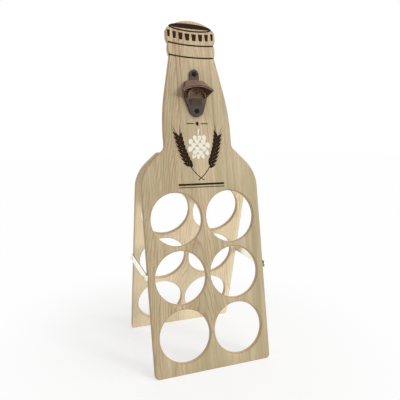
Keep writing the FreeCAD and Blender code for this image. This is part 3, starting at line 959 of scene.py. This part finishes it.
@dataclass(frozen=True)
class Screw:
    """A screw with a cross, its seat at the origin and its head along +Z, in millimetres."""

    head: Head
    head_radius: float
    head_height: float
    shank_radius: float
    depth: float
    shoulder_radius: float = 0.0
    shoulder: float = 0.0
    rim_share: float = 0.3
    dome_rings: int = 8
    cross_reach: float = 0.62
    cross_width: float = 0.26
    cross_depth: float = 1.1
    cross_clear: float = 1.0
    tip_radius: float = 0.5
    tip_length: float = 3.0
    segments: int = 40

    def profile(self) -> list[Pair]:
        """Outline of the turned screw.

        Returns:
            Radius and height from the top of the head down to the tip.
        """
        if self.head is Head.DOME:
            angles = [math.pi / 2 * (i + 1) / self.dome_rings for i in range(self.dome_rings)]
            dome = 1 - self.rim_share
            line = [(self.head_radius * math.sin(a),
                     self.head_height * (self.rim_share + dome * math.cos(a))) for a in angles]
            line.append((self.head_radius, 0.0))
        else:
            cone = self.head_radius - self.shank_radius
            line = [(self.head_radius, self.head_height), (self.shank_radius, self.head_height - cone)]
        if self.shoulder:
            line += [(self.shoulder_radius, 0.0), (self.shoulder_radius, -self.shoulder),
                     (self.shank_radius, -self.shoulder)]
        elif self.head is Head.DOME:
            line.append((self.shank_radius, 0.0))
        return line + [(self.shank_radius, self.tip_length - self.depth), (self.tip_radius, -self.depth)]

    def cross(self) -> Object:
        """Cutter for the cross in the head.

        Returns:
            The cutter, which stands out over the head.
        """
        reach, half = self.cross_reach * self.head_radius, self.cross_width * self.head_radius / 2
        corners = [(half, half), (half, reach), (-half, reach)]
        for _ in range(3):
            corners += [(-y, x) for x, y in corners[-3:]]
        cutter = flat_plate(corners, self.head_height - self.cross_depth,
                            self.head_height + self.cross_clear)
        fix_normals(cutter.data)
        return cutter

    def model(self) -> Object:
        """Turn the profile and cut the cross into the head.

        Returns:
            One screw at the origin, for the tree to copy.
        """
        mesh = bpy.data.meshes.new("screw")
        angles = [2 * math.pi * i / self.segments for i in range(self.segments)]
        with editing(mesh) as work:
            rings = [[work.verts.new((radius * math.cos(a) * MM, radius * math.sin(a) * MM, height * MM))
                      for a in angles] for radius, height in self.profile()]
            for upper, lower in zip(rings, rings[1:]):
                close_band(work, upper, lower)
            work.faces.new(rings[0])
            work.faces.new(rings[-1][::-1])
        fix_normals(mesh)
        piece, cutter = add_object("screw", mesh), self.cross()
        recess = piece.modifiers.new("recess", "BOOLEAN")
        recess.operation = "DIFFERENCE"
        recess.object = cutter
        apply_modifiers(piece)
        bpy.data.objects.remove(cutter)
        fix_normals(piece.data, SCREW_CREASE)
        return piece


@dataclass(frozen=True)
class Spot:
    """Seat of a screw, the direction its head faces and how its cross happens to stand."""

    place: Vector
    facing: Vector
    spin: float

    @property
    def turn(self) -> Euler:
        """Angles that bring the model to the spot."""
        upright = self.facing.to_track_quat("Z", "Y")
        return (upright.to_matrix() @ Matrix.Rotation(self.spin, 3, "Z")).to_euler()


@dataclass
class ScrewSet:
    """Like screws on one body."""

    name: str
    screw: Screw
    spots: list[Spot]
    body: Body
    slot: Slot
    nodes: list[str]

    def build(self, tree: NodeTree, material: Material) -> None:
        """Set the screws in their places.

        Args:
            tree: the Geometry Nodes tree that copies the screw.
            material: the screws' finish.
        """
        mesh = bpy.data.meshes.new(self.name)
        mesh.from_pydata([spot.place for spot in self.spots], [], [])
        turns = mesh.attributes.new("turn", "FLOAT_VECTOR", "POINT")
        turns.data.foreach_set("vector", [angle for spot in self.spots for angle in spot.turn])
        model = self.screw.model()
        piece = grown(self.name, tree, {"Screw": model, "Material": material}, mesh)
        bpy.data.objects.remove(model)
        ride(piece, self.body, self.nodes)


@dataclass
class HookBar:
    """A stay's flat bar with rounded arrises and painted shade on its narrow faces that look up and
    down.
    """

    side: str
    material: Material
    rounding: Rounding = Rounding(0.25 * MM, 0.25 * MM)
    edge_facing: float = 0.6

    def build(self) -> None:
        """Round a copy of the bar's solid and mark its narrow faces that look up and down for painted
        shade.
        """
        node = f"{self.side}_stay_bar"
        mesh = bare_copy(node)
        self.rounding.apply(mesh, Matrix.Rotation(math.pi / 2, 4, "Y"))
        fix_normals(mesh, CREASE)
        # Narrow faces that look up and down are marked for painted shade.
        keep_values(mesh, "painted_edge_shade", "FACE",
                    [float(abs(face.normal.z) > self.edge_facing) for face in mesh.polygons])
        mesh.materials.append(self.material)
        piece = add_object(f"{self.side}_hook_bar", mesh)
        ride(piece, Body(f"{self.side}_stay"), [node])


@dataclass
class Hardware:
    """Hinges, stays and all screws, with their places in millimetres."""

    finishes: dict[Slot, MetalFinish]
    opener_screw: Screw = Screw(Head.DOME, head_radius=3.6, head_height=2.0, shank_radius=2.0,
                                depth=10.0)
    opener_rises: Pair = (391.4, 447.4)
    opener_spins: Pair = (0.4, 1.1)
    opener_seat: float = 11.6
    stay_screw: Screw = Screw(Head.DOME, head_radius=4.2, head_height=2.1, shank_radius=1.6,
                              depth=11.8, shoulder_radius=2.3, shoulder=2.8)
    stay_rise: float = 149.0
    stay_seat: float = 96.8
    stay_spins: Pair = (-0.2, 0.8)
    hinge_screw: Screw = Screw(Head.FLAT, head_radius=2.3, head_height=0.0, shank_radius=1.3,
                               depth=6.5, cross_depth=0.7, tip_length=2.0)
    hinge_rise: float = 318.5
    hinge_seat: float = -1.0
    hinge_places: Row = (-41.0, -21.0, 21.0, 41.0)
    hinge_spin: float = 0.07

    def __post_init__(self) -> None:
        """Write each finish once."""
        self.materials = {slot: finish.build() for slot, finish in self.finishes.items()}

    def dress(self) -> None:
        """Give each metal node its finish."""
        for item in frame["record"]["subparts"]:
            material = self.materials.get(Slot(item["material_slot"]))
            if material:
                dress_node(item["node"], material)

    def opener_screws(self) -> ScrewSet:
        """Two screws that hold the opener.

        Returns:
            The set.
        """
        outward = FRONT_PLANE.direction(0, 0, 1)
        spots = [Spot(FRONT_PLANE.at(0, rise, self.opener_seat), outward, spin)
                 for rise, spin in zip(self.opener_rises, self.opener_spins)]
        return ScrewSet("opener_screws", self.opener_screw, spots, Body.FRONT, Slot.OPENER_SCREW,
                        ["opener_lower_screw", "opener_upper_screw"])

    def stay_screws(self, plane: PanelPlane, role: str) -> ScrewSet:
        """Shouldered screws of both stays in one panel's edges.

        Args:
            plane: the panel.
            role: catch or pivot.

        Returns:
            The set.
        """
        spots = []
        for sign, spin in zip(SIDES.values(), self.stay_spins):
            seat = plane.at(0, self.stay_rise, plane.thickness / MM / 2)
            seat.x = sign * self.stay_seat * MM
            spots.append(Spot(seat, Vector((sign, 0, 0)), spin))
        return ScrewSet(f"{role}_screws", self.stay_screw, spots, plane.body, Slot.SCREW,
                        [f"{side}_stay_{role}_screw" for side in SIDES])

    def hinge_screws(self, plane: PanelPlane) -> ScrewSet:
        """Flush screws of both hinges in one panel.

        Args:
            plane: the panel.

        Returns:
            The set.
        """
        name, inward = plane.body.value, plane.direction(0, 0, -1)
        spots = [Spot(plane.at(u, self.hinge_rise, self.hinge_seat), inward, self.hinge_spin * u)
                 for u in self.hinge_places]
        return ScrewSet(f"{name}_hinge_screws", self.hinge_screw, spots, plane.body, Slot.SCREW,
                        [f"{side}_hinge_{name}_screw_{mark}" for side in SIDES for mark in "ab"])

    def build(self) -> None:
        """Set rounded bars and detailed screws in place of the plain ones."""
        for side in SIDES:
            HookBar(side, self.materials[Slot.STAY]).build()
        sets = [self.opener_screws()]
        for plane, role in ((FRONT_PLANE, "catch"), (REAR_PLANE, "pivot")):
            sets += [self.stay_screws(plane, role), self.hinge_screws(plane)]
        tree = make_screw_tree()
        for screws in sets:
            screws.build(tree, self.materials[screws.slot])


@dataclass
class CastOpener:
    """Sand-cast opener with softened edges and rubbed high spots, painted light on its upward faces and
    the tooth's slope, and painted light that lifts its hollows.
    """

    finish: MetalFinish
    node: str = "opener_casting"
    voxel: float = 0.45 * MM
    softness: float = 0.5
    soften_rounds: int = 6
    edge_rounds: int = 3
    edge_span: Pair = (0.01, 0.06)
    near_wear: float = 0.25
    stand_off: Pair = (20.0 * MM, 27.0 * MM)
    # Painted light: faces that look up get the lighter rubbed colour, as if lit from above.
    painted_top_light: float = 0.66
    painted_top_span: Pair = (0.35, 0.75)
    # Painted light: faces that look out and down, such as the tooth's slope, get some of the lighter
    # rubbed colour to lift their shade.
    painted_slope_light: float = 0.16
    painted_slope_span: Pair = (0.2, 0.4)
    slope_facing: float = 0.7
    ray_count: int = 40
    ray_reach: float = 14.0 * MM
    ray_lift: float = 0.1

    def build(self) -> Object:
        """Soften a copy of the opener's solid, mark how rubbed and how lit each point is, and how open
        it is for the painted light in its hollows.

        Returns:
            The cast piece.
        """
        mesh = bare_copy(self.node)
        fix_normals(mesh)
        piece = add_object("cast_opener", mesh)
        remesh = piece.modifiers.new("voxels", "REMESH")
        remesh.mode = "VOXEL"
        remesh.voxel_size = self.voxel
        soften = piece.modifiers.new("soften", "SMOOTH")
        soften.factor = self.softness
        soften.iterations = self.soften_rounds
        apply_modifiers(piece)
        fix_normals(piece.data, math.pi)
        work = bmesh.new()
        work.from_mesh(piece.data)
        work.normal_update()
        wear_and_light, opened = self.wear_and_light(work), self.openness(work)
        work.free()
        # These values mix real rubbed edges with painted light on upward faces and the tooth's slope.
        keep_values(piece.data, "wear_and_light", "POINT", wear_and_light)
        # How open each point is, which sets the painted light in the hollows.
        keep_values(piece.data, "open", "POINT", opened)
        return piece

    def edges(self, work: BMesh) -> list[float]:
        """How far each point stands out between its neighbours.

        Args:
            work: the softened casting.

        Returns:
            One value for each point, evened out over its surroundings.
        """
        raw = []
        for vert in work.verts:
            others = [edge.other_vert(vert).co for edge in vert.link_edges]
            middle = sum(others, Vector()) / len(others)
            raw.append((vert.co - middle).dot(vert.normal) / self.voxel)
        for _ in range(self.edge_rounds):
            raw = [(raw[v.index] + sum(raw[e.other_vert(v).index] for e in v.link_edges))
                   / (1 + len(v.link_edges)) for v in work.verts]
        return raw

    def wear_and_light(self, work: BMesh) -> list[float]:
        """How rubbed and how lit each point is: rubbed edges far off the panel, and painted light on
        faces that look up and on the tooth's slope.

        Args:
            work: the softened casting.

        Returns:
            One value for each point, 0 to 1.
        """
        to_panel = FRONT_PLANE.matrix.inverted()
        turned = to_panel.to_3x3()
        values = []
        for vert, value in zip(work.verts, self.edges(work)):
            far = ramp((to_panel @ vert.co).z, *self.stand_off)
            edge = ramp(value, *self.edge_span) * (self.near_wear + (1 - self.near_wear) * far)
            # Painted light on faces that look up.
            top = ramp(vert.normal.z, *self.painted_top_span)
            # Painted light on faces that look out and down.
            normal = turned @ vert.normal
            slope = ramp(-normal.y, *self.painted_slope_span) if normal.z > self.slope_facing else 0.0
            values.append(max(edge, self.painted_top_light * top, self.painted_slope_light * slope))
        return values

    def rays(self) -> list[Vector]:
        """Directions spread evenly over a ball.

        Returns:
            The directions.
        """
        golden = math.pi * (3.0 - math.sqrt(5.0))
        rays = []
        for i in range(self.ray_count):
            height = 1 - 2 * (i + 0.5) / self.ray_count
            ring = math.sqrt(1 - height * height)
            rays.append(Vector((ring * math.cos(golden * i), ring * math.sin(golden * i), height)))
        return rays

    def openness(self, work: BMesh) -> list[float]:
        """Share of the view out of each point that the casting leaves free.

        Args:
            work: the softened casting.

        Returns:
            One value for each point, 0 to 1.
        """
        tree, rays = BVHTree.FromBMesh(work), self.rays()
        values = []
        for vert in work.verts:
            start = vert.co + vert.normal * self.voxel
            free = total = 0.0
            for ray in rays:
                weight = ray.dot(vert.normal)
                if weight > self.ray_lift:
                    total += weight
                    if tree.ray_cast(start, ray, self.ray_reach)[0] is None:
                        free += weight
            values.append(free / total)
        return values

    def dress(self, piece: Object) -> None:
        """Give the casting and its node the finish, and the piece its place."""
        dress_pair(piece, self.node, self.finish.build(), Body.FRONT)


class PrintGroup(GeometryGroup):
    """A Geometry Nodes tree of ink, lifted to its level on the panel."""

    petal_corners, petal_point = 14, 0.45

    def __init__(self, name: str, inputs: dict[str, str]) -> None:
        """Make the tree with its inputs and those of the ink's layer."""
        super().__init__(name, {**inputs, **floats("Thickness", "Lift")})

    def petal(self, width: Term, length: Term) -> Term:
        """Flat pointed leaf that grows from the origin along +Y.

        Args:
            width: the leaf's width.
            length: its length.

        Returns:
            The leaf, as thick as the ink.
        """
        disc = self.geo("MeshCylinder", {"Vertices": self.petal_corners, "Radius": 1.0,
                                         "Depth": self.take["Thickness"]})
        across, along, level = self.split(self.geo("InputPosition"))
        side = across * (along * -self.petal_point + 1.0) * (width * 0.5)
        spot = self.vector(side, (along * 0.5 + 0.5) * length, level)
        return self.geo("SetPosition", {"Geometry": disc, "Position": spot})

    def finish(self, geometry: Term) -> NodeTree:
        """Lift the ink, make its copies real and give it its material."""
        lift = self.vector(z=self.take["Lift"])
        return super().finish(self.geo("Transform", {"Geometry": geometry, "Translation": lift}))


def make_teeth_tree() -> NodeTree:
    """Crown-cap teeth: tapered blocks in a row that bends round a cylinder and dips in the middle.

    Returns:
        The tree.
    """
    foreshortening = 2.2
    group = PrintGroup("crown_teeth", {"Count": INT, **floats(
        "Radius", "Step", "Middle", "Dip", "Top Width", "Taper", "Height")})
    take = group.take
    row = group.geo("MeshLine", {"Count": take["Count"]})
    angle = (group.geo("InputIndex") - (take["Count"] - 1.0) * 0.5) * take["Step"]
    cosine = group.math("COSINE", angle)
    across = group.math("SINE", angle) * take["Radius"]
    along = group.math("SUBTRACT", 1.0, cosine) * take["Dip"] + take["Middle"]
    points = group.geo("SetPosition", {"Geometry": row, "Position": group.vector(across, along)})
    size = group.vector(take["Top Width"], take["Height"], take["Thickness"])
    block = group.geo("MeshCube", {"Size": size})
    side, rise, level = group.split(group.geo("InputPosition"))
    narrow = (rise / take["Height"] - 0.5) * take["Taper"] + 1.0
    tooth = group.geo("SetPosition", {"Geometry": block,
                                      "Position": group.vector(side * narrow, rise, level)})
    turned = group.math("POWER", cosine, foreshortening)
    return group.finish(group.copies(points, tooth, Scale=group.vector(turned, 1.0, 1.0)))


def make_ear_tree() -> NodeTree:
    """Ear of barley: kernels and awns to both sides of a bent stem.

    Returns:
        The tree.
    """
    steps, stem_share = 32, 0.7
    kernel, awn = (1.0, (1.0, 1.0, 1.0)), (0.5, (0.16, 2.1, 0.8))
    group = PrintGroup("barley_ear", {
        **dict.fromkeys(("Start", "Middle", "End"), VECTOR), "Kernels": INT,
        **floats("Bare Share", "Kernel Width", "Kernel Length", "Splay", "Stem Width")})
    take = group.take
    path = group.geo("CurveQuadraticBezier", {"Resolution": steps, "Start": take["Start"],
                                              "Middle": take["Middle"], "End": take["End"]})
    upper = group.geo("TrimCurve", {0: path, 2: take["Bare Share"], 3: 1.0}, mode="FACTOR")
    points = group.add("GeometryNodeCurveToPoints", {"Curve": upper, "Count": take["Kernels"]},
                       mode="COUNT").outputs
    along = group.term("FunctionNodeAlignRotationToVector", {"Vector": points["Tangent"]},
                       axis="Y", pivot_axis="Z")
    side = group.math("MODULO", group.geo("InputIndex"), 2.0) * 2.0 - 1.0
    leaf = group.petal(take["Kernel Width"], take["Kernel Length"])
    layers = []
    for share, scale in (kernel, awn):
        tilt = group.rotation(group.vector(z=side * take["Splay"] * share))
        turn = group.term("FunctionNodeRotateRotation", {0: along, 1: tilt}, rotation_space="LOCAL")
        layers.append(group.copies(points["Points"], leaf, Rotation=turn, Scale=scale))
    section = group.geo("CurvePrimitiveQuadrilateral", {0: take["Stem Width"],
                                                        1: take["Thickness"] * stem_share})
    upright = group.geo("SetCurveNormal", {0: path}, mode="Z_UP")
    layers.append(group.geo("CurveToMesh", {"Curve": upright, "Profile Curve": section,
                                            "Fill Caps": True}))
    together = group.add("GeometryNodeJoinGeometry")
    for layer in layers:
        group.feed(together.inputs[0], layer)
    return group.finish(Term(group, together.outputs[0]))


def make_cone_tree() -> NodeTree:
    """Hop cone: rows of hanging leaves under a rounded outline.

    Returns:
        The tree.
    """
    bulge_start, bulge_run, least_size = 0.45, 2.2, 0.6
    group = PrintGroup("hop_cone", {"Rows": INT, "Columns": INT, **floats(
        "Middle", "Half Width", "Length", "Leaf Width", "Leaf Length", "Fan")})
    take = group.take
    columns, index = take["Columns"], group.geo("InputIndex")
    spots = group.geo("MeshLine", {"Count": take["Rows"] * columns})
    row = group.math("FLOOR", index / columns)
    share = (row + 0.5) / take["Rows"]
    bulge = group.math("SINE", share * bulge_run + bulge_start)
    stagger = group.math("MODULO", row, 2.0) * 0.5 - 0.25
    step = index - row * columns - (columns - 1.0) * 0.5 + stagger
    reach = step / (columns * 0.5)
    across = reach * (take["Half Width"] * bulge)
    along = (share - 0.5) * take["Length"] + take["Middle"]
    placed = group.geo("SetPosition", {"Geometry": spots, "Position": group.vector(across, along)})
    turn = group.rotation(group.vector(z=reach * take["Fan"] + math.pi))
    size = bulge * (1 - least_size) + least_size
    leaf = group.petal(take["Leaf Width"], take["Leaf Length"])
    return group.finish(group.copies(placed, leaf, Rotation=turn, Scale=group.vector(size, size, 1.0)))


def line_outline(points: Sequence[Pair], width: float) -> list[Pair]:
    """Outline of a line of even width.

    Args:
        points: the line's middle.
        width: its width.

    Returns:
        Corners up its left side and down its right.
    """
    left, right = [], []
    for i, (x, y) in enumerate(points):
        before = points[max(i - 1, 0)]
        after = points[min(i + 1, len(points) - 1)]
        run = Vector((after[0] - before[0], after[1] - before[1])).normalized() * width / 2
        left.append((x - run.y, y + run.x))
        right.append((x + run.y, y - run.x))
    return left + right[::-1]


@dataclass
class Print:
    """Ink on the front panel's outer face, with its levels in panel millimetres."""

    low: float = 7.95
    high: float = 8.12

    @property
    def layer(self) -> dict[str, float]:
        """The ink's layer, for a tree."""
        return {"Thickness": (self.high - self.low) * MM, "Lift": (self.high + self.low) / 2 * MM}

    def plate(self, outline: Sequence[Pair]) -> Object:
        """A flat printed shape."""
        return flat_plate(outline, self.low, self.high)

    def place(self, name: str, parts: Sequence[Object], ink: Material,
              turn: Matrix = Matrix()) -> None:
        """Join parts of one ink, lay them on the panel and tie them to it.

        Args:
            name: name of the piece.
            parts: its parts in panel axes.
            ink: its finish.
            turn: how the whole is turned in panel axes.
        """
        mesh = bpy.data.meshes.new(name)
        with editing(mesh) as work:
            for part in parts:
                work.from_mesh(part.data)
                bpy.data.objects.remove(part)
        mesh.transform(FRONT_PLANE.matrix @ turn)
        fix_normals(mesh)
        mesh.materials.append(ink)
        ride(add_object(name, mesh), FRONT_PLANE.body)


@dataclass
class CapPrint(Print):
    """Line art on the crown cap: open top, teeth and two ring lines, in panel millimetres.

    Each ring line has its half width, the height of its ends and how far its middle dips.
    """

    centre: float = 519.3
    half_width: float = 33.5
    rim_rise: float = 5.6
    fill_drop: float = 2.2
    line_width: float = 2.2
    tilt: float = math.radians(-1.6)
    corners: int = 48
    rings: tuple[Triple, ...] = ((36.2, 494.4, 2.5), (36.0, 475.6, 2.1))

    def oval(self, rise: float, start: float) -> list[Pair]:
        """Half of the cap's oval top from an angle on."""
        angles = [start + math.pi * i / self.corners for i in range(self.corners + 1)]
        return [(self.half_width * math.cos(a), self.centre + rise * math.sin(a)) for a in angles]

    def build(self, ink: Material) -> None:
        """Build the print.

        Args:
            ink: its finish.
        """
        fill = self.oval(self.rim_rise, 0.0) + self.oval(self.fill_drop, math.pi)[1:-1]
        rim = self.oval(self.rim_rise, math.pi)
        parts = [self.plate(fill), self.plate(line_outline(rim, self.line_width))]
        steps = [2 * i / self.corners - 1 for i in range(self.corners + 1)]
        for half, ends, dip in self.rings:
            curve = [(half * s, ends - dip * (1 - s * s)) for s in steps]
            parts.append(self.plate(line_outline(curve, self.line_width)))
        parts.append(grown("teeth", make_teeth_tree(), {
            **self.layer, "Count": 8, "Radius": 55.5 * MM, "Step": math.radians(11.0),
            "Middle": 504.4 * MM, "Dip": 15.0 * MM, "Top Width": 8.0 * MM, "Taper": 0.32,
            "Height": 10.4 * MM, "Material": ink}))
        pivot = Matrix.Translation((0, self.centre * MM, 0))
        tilted = pivot @ Matrix.Rotation(self.tilt, 4, "Z") @ pivot.inverted()
        self.place("cap_print", parts, ink, tilted)


@dataclass
class HarvestPrint(Print):
    """Printed sprig on the neck: two ears of barley, a pale hop cone and plain rules.

    All sizes are in panel millimetres. Each rule has its left end, right end, foot and height.
    """

    rules: tuple[Row, ...] = (
        (-37.0, 37.0, 279.4, 3.0), (-37.0, 37.0, 276.0, 1.2),
        (-17.0, -5.5, 372.5, 1.4), (5.5, 17.0, 372.5, 1.4))
    diamond: tuple[Pair, ...] = ((0.0, 369.2), (3.0, 373.2), (0.0, 377.2), (-3.0, 373.2))
    stem: tuple[Pair, ...] = ((0.0, 356.0), (0.5, 360.0), (2.5, 365.0))
    stem_width: float = 1.8

    def build(self, dark: Material, pale: Material) -> None:
        """Build both inks of the print.

        Args:
            dark: finish of the ears and rules.
            pale: finish of the cone.
        """
        ear = make_ear_tree()
        sprig = [grown("ear", ear, {
            **self.layer, "Start": (-sign * 5 * MM, 287 * MM, 0.0),
            "Middle": (sign * 22 * MM, 303 * MM, 0.0), "End": (sign * 31 * MM, 352 * MM, 0.0),
            "Bare Share": 0.36, "Kernels": 16, "Kernel Width": 4.5 * MM, "Kernel Length": 12.0 * MM,
            "Splay": math.radians(34.0), "Stem Width": 1.3 * MM, "Material": dark})
            for sign in SIDES.values()]
        for left, right, foot, height in self.rules:
            top = foot + height
            sprig.append(self.plate([(left, foot), (right, foot), (right, top), (left, top)]))
        sprig.append(self.plate(self.diamond))
        self.place("sprig_print", sprig, dark)
        cone = grown("cone", make_cone_tree(), {
            **self.layer, "Rows": 6, "Columns": 3, "Middle": 341.0 * MM, "Half Width": 15.0 * MM,
            "Length": 34.0 * MM, "Leaf Width": 7.0 * MM, "Leaf Length": 9.4 * MM, "Fan": 0.6,
            "Material": pale})
        stem = self.plate(line_outline(self.stem, self.stem_width))
        self.place("hop_print", [cone, stem], pale)


@dataclass(frozen=True)
class Lamp:
    """Broad even lamp: where it hangs seen from the object, its apparent width and its strength."""

    name: str
    toward: Triple
    spread: float
    power: float

    def build(self) -> None:
        """Hang the lamp."""
        light = bpy.data.lights.new(self.name, "SUN")
        light.angle = math.radians(self.spread)
        light.energy = self.power
        turn = (-Vector(self.toward)).to_track_quat("-Z", "Y")
        add_object(self.name, light).rotation_euler = turn.to_euler()


@dataclass(frozen=True)
class Studio:
    """Camera, world, floor and lamps."""

    azimuth: float = math.radians(-20.628)
    height_angle: float = math.radians(13.326)
    roll: float = math.radians(0.489)
    place: Triple = (-0.224575, -0.61263, 0.364233)
    image_side: float = 400.0
    focal_pixels: float = 416.795
    drop_pixels: float = 22.44
    sensor: float = 36.0
    nearest: float = 0.01
    fill: float = 0.35
    floor_half: float = 4.0
    floor_paint: Pair = (0.84, 0.98)
    fade_distance: Pair = (0.12, 0.42)
    fade_share: Pair = (0.6, 0.95)
    lamps: tuple[Lamp, ...] = (
        Lamp("key", (0.62, -0.82, 0.36), 16.0, 1.32), Lamp("top", (0.4, -0.35, 0.85), 50.0, 1.15),
        Lamp("side", (-1.0, -0.45, 0.3), 60.0, 0.22), Lamp("back", (0.4, 1.0, 0.5), 60.0, 0.5))

    def add_camera(self) -> None:
        """Camera at the photograph's viewing angle."""
        data = bpy.data.cameras.new("camera")
        data.sensor_width = self.sensor
        data.lens = self.focal_pixels / self.image_side * self.sensor
        data.shift_y = self.drop_pixels / self.image_side
        data.clip_start = self.nearest
        camera = add_object("camera", data)
        camera.matrix_world = (Matrix.Translation(self.place) @ Matrix.Rotation(self.azimuth, 4, "Z")
                               @ Matrix.Rotation(math.pi / 2 - self.height_angle, 4, "X")
                               @ Matrix.Rotation(self.roll, 4, "Z"))
        bpy.context.scene.camera = camera

    def add_world(self) -> None:
        """White surroundings with a plain fill."""
        world = bpy.data.worlds.new("studio")
        world.use_nodes = True
        bpy.context.scene.world = world
        graph = Graph(world.node_tree)
        strength = graph.span(graph.seen(), 0.0, 1.0, self.fill, 1.0)
        light = graph.term("ShaderNodeBackground", {"Color": WHITE, "Strength": strength})
        graph.add("ShaderNodeOutputWorld", {"Surface": light})

    def add_floor(self) -> None:
        """Pale floor that reads as white but keeps the shadow."""
        half = self.floor_half
        mesh = bpy.data.meshes.new("floor")
        mesh.from_pydata([(-half, -half, 0), (half, -half, 0), (half, half, 0), (-half, half, 0)],
                         [], [(0, 1, 2, 3)])
        material = bpy.data.materials.new("pale_floor")
        material.use_nodes = True
        graph = Graph(material.node_tree)
        seen = graph.seen()
        tone = graph.span(seen, 0.0, 1.0, *self.floor_paint)
        paint = graph.term("ShaderNodeBsdfDiffuse", {"Color": tone})
        glow = graph.term("ShaderNodeEmission", {"Color": WHITE, "Strength": 1.0})
        away = graph.term("ShaderNodeVectorMath", {0: graph.place()}, "Value", operation="LENGTH")
        fade = graph.span(away, *self.fade_distance, *self.fade_share, smooth=True)
        mix = graph.term("ShaderNodeMixShader", {0: seen * fade, 1: paint, 2: glow})
        graph.add("ShaderNodeOutputMaterial", {"Surface": mix})
        mesh.materials.append(material)
        floor = add_object("floor", mesh)

    def build(self) -> None:
        """Set up the whole studio."""
        bpy.context.scene.view_settings.view_transform = "Standard"
        self.add_camera()
        self.add_world()
        self.add_floor()
        for lamp in self.lamps:
            lamp.build()


# Front rims: the dark outer rim is partly a burnt line and partly painted shade on the eased outer
# arris; the cream inner rim is a painted highlight along the inner arris.
FRONT_VENEER = VeneerFinish(
    "front_veneer", face=linear(175, 164, 131), flush=linear(210, 189, 157), line=linear(161, 144, 107),
    streak=linear(148, 112, 81), edge=linear(214, 189, 156), layer=linear(203, 177, 143),
    outer_rim=linear(168, 142, 109), inner_rim=linear(236, 218, 190), heart=-14.0, shift=0.0,
    streaks=(Streak(-26.5, 2.0, 0.75, 372.0), Streak(-20.0, 2.2, 0.8, 372.0),
             Streak(27.0, 2.6, 0.4, 300.0)))
# The rear veneer is paler than the front, partly as its own wood and partly as painted light that stands
# in for the stronger light on the rear panel.
REAR_VENEER = VeneerFinish(
    "rear_veneer", face=linear(246, 232, 199), flush=linear(252, 232, 202), line=linear(231, 213, 173),
    streak=linear(196, 162, 126), edge=linear(222, 198, 162), layer=linear(208, 182, 146),
    outer_rim=linear(240, 224, 196), inner_rim=linear(218, 193, 156), heart=-20.0, shift=400.0)
# The bright zinc's darker colour is painted shade on the bars' narrow faces.
BRIGHT_ZINC = MetalFinish(
    "bright_zinc", linear(255, 253, 242), linear(240, 238, 226), metallic=1.0, rough=(0.16, 0.3),
    grit=900.0, relief=0.02 * MM, streaked=True, painted_edge_shade=linear(136, 131, 118))
HINGE_ZINC = MetalFinish(
    "hinge_zinc", linear(214, 212, 206), linear(196, 194, 188), metallic=1.0, rough=(0.3, 0.48),
    grit=900.0, relief=0.04 * MM, streaked=True)
SCREW_ZINC = MetalFinish(
    "screw_zinc", linear(252, 250, 242), linear(244, 242, 234), metallic=0.9, rough=(0.2, 0.32),
    grit=1200.0, relief=0.02 * MM)
DARK_SCREW = MetalFinish(
    "dark_screw", linear(34, 24, 18), linear(24, 17, 13), metallic=0.1, rough=(0.5, 0.62),
    grit=1200.0, relief=0.04 * MM, specular=0.15)
# The casting's hollow colour is painted light, much lighter than its base, that lifts the shade in its
# hollows.
BROWN_CASTING = MetalFinish(
    "brown_casting", linear(52, 38, 28), linear(44, 32, 24), metallic=0.1, rough=(0.36, 0.5),
    grit=1500.0, relief=0.12 * MM, specular=0.3, worn_and_lit=linear(156, 127, 103), painted_hollow_light=linear(130, 95, 66))
BROWN_INK = InkFinish("brown_ink", linear(45, 28, 18), linear(80, 59, 42))
CREAM_INK = InkFinish("cream_ink", linear(232, 228, 214), linear(214, 203, 178))


def main() -> None:
    """Build and dress every piece."""
    logging.basicConfig(level=logging.INFO, format="%(name)s: %(message)s")
    for name in ("Cube", "Light", "Camera"):
        if name in bpy.data.objects:
            bpy.data.objects.remove(bpy.data.objects[name])
    Studio().build()
    for panel in (Panel("front_panel", FRONT_PLANE, Slot.FRONT_WOOD, FRONT_VENEER),
                  Panel("rear_panel", REAR_PLANE, Slot.REAR_WOOD, REAR_VENEER)):
        panel.dress(panel.build())
    hardware = Hardware({Slot.STAY: BRIGHT_ZINC, Slot.HINGE: HINGE_ZINC, Slot.SCREW: SCREW_ZINC,
                         Slot.OPENER_SCREW: DARK_SCREW})
    hardware.dress()
    hardware.build()
    opener = CastOpener(BROWN_CASTING)
    opener.dress(opener.build())
    dark, pale = BROWN_INK.build(FRONT_PLANE), CREAM_INK.build(FRONT_PLANE)
    CapPrint().build(dark)
    HarvestPrint().build(dark, pale)


if __name__ == "__main__":
    main()
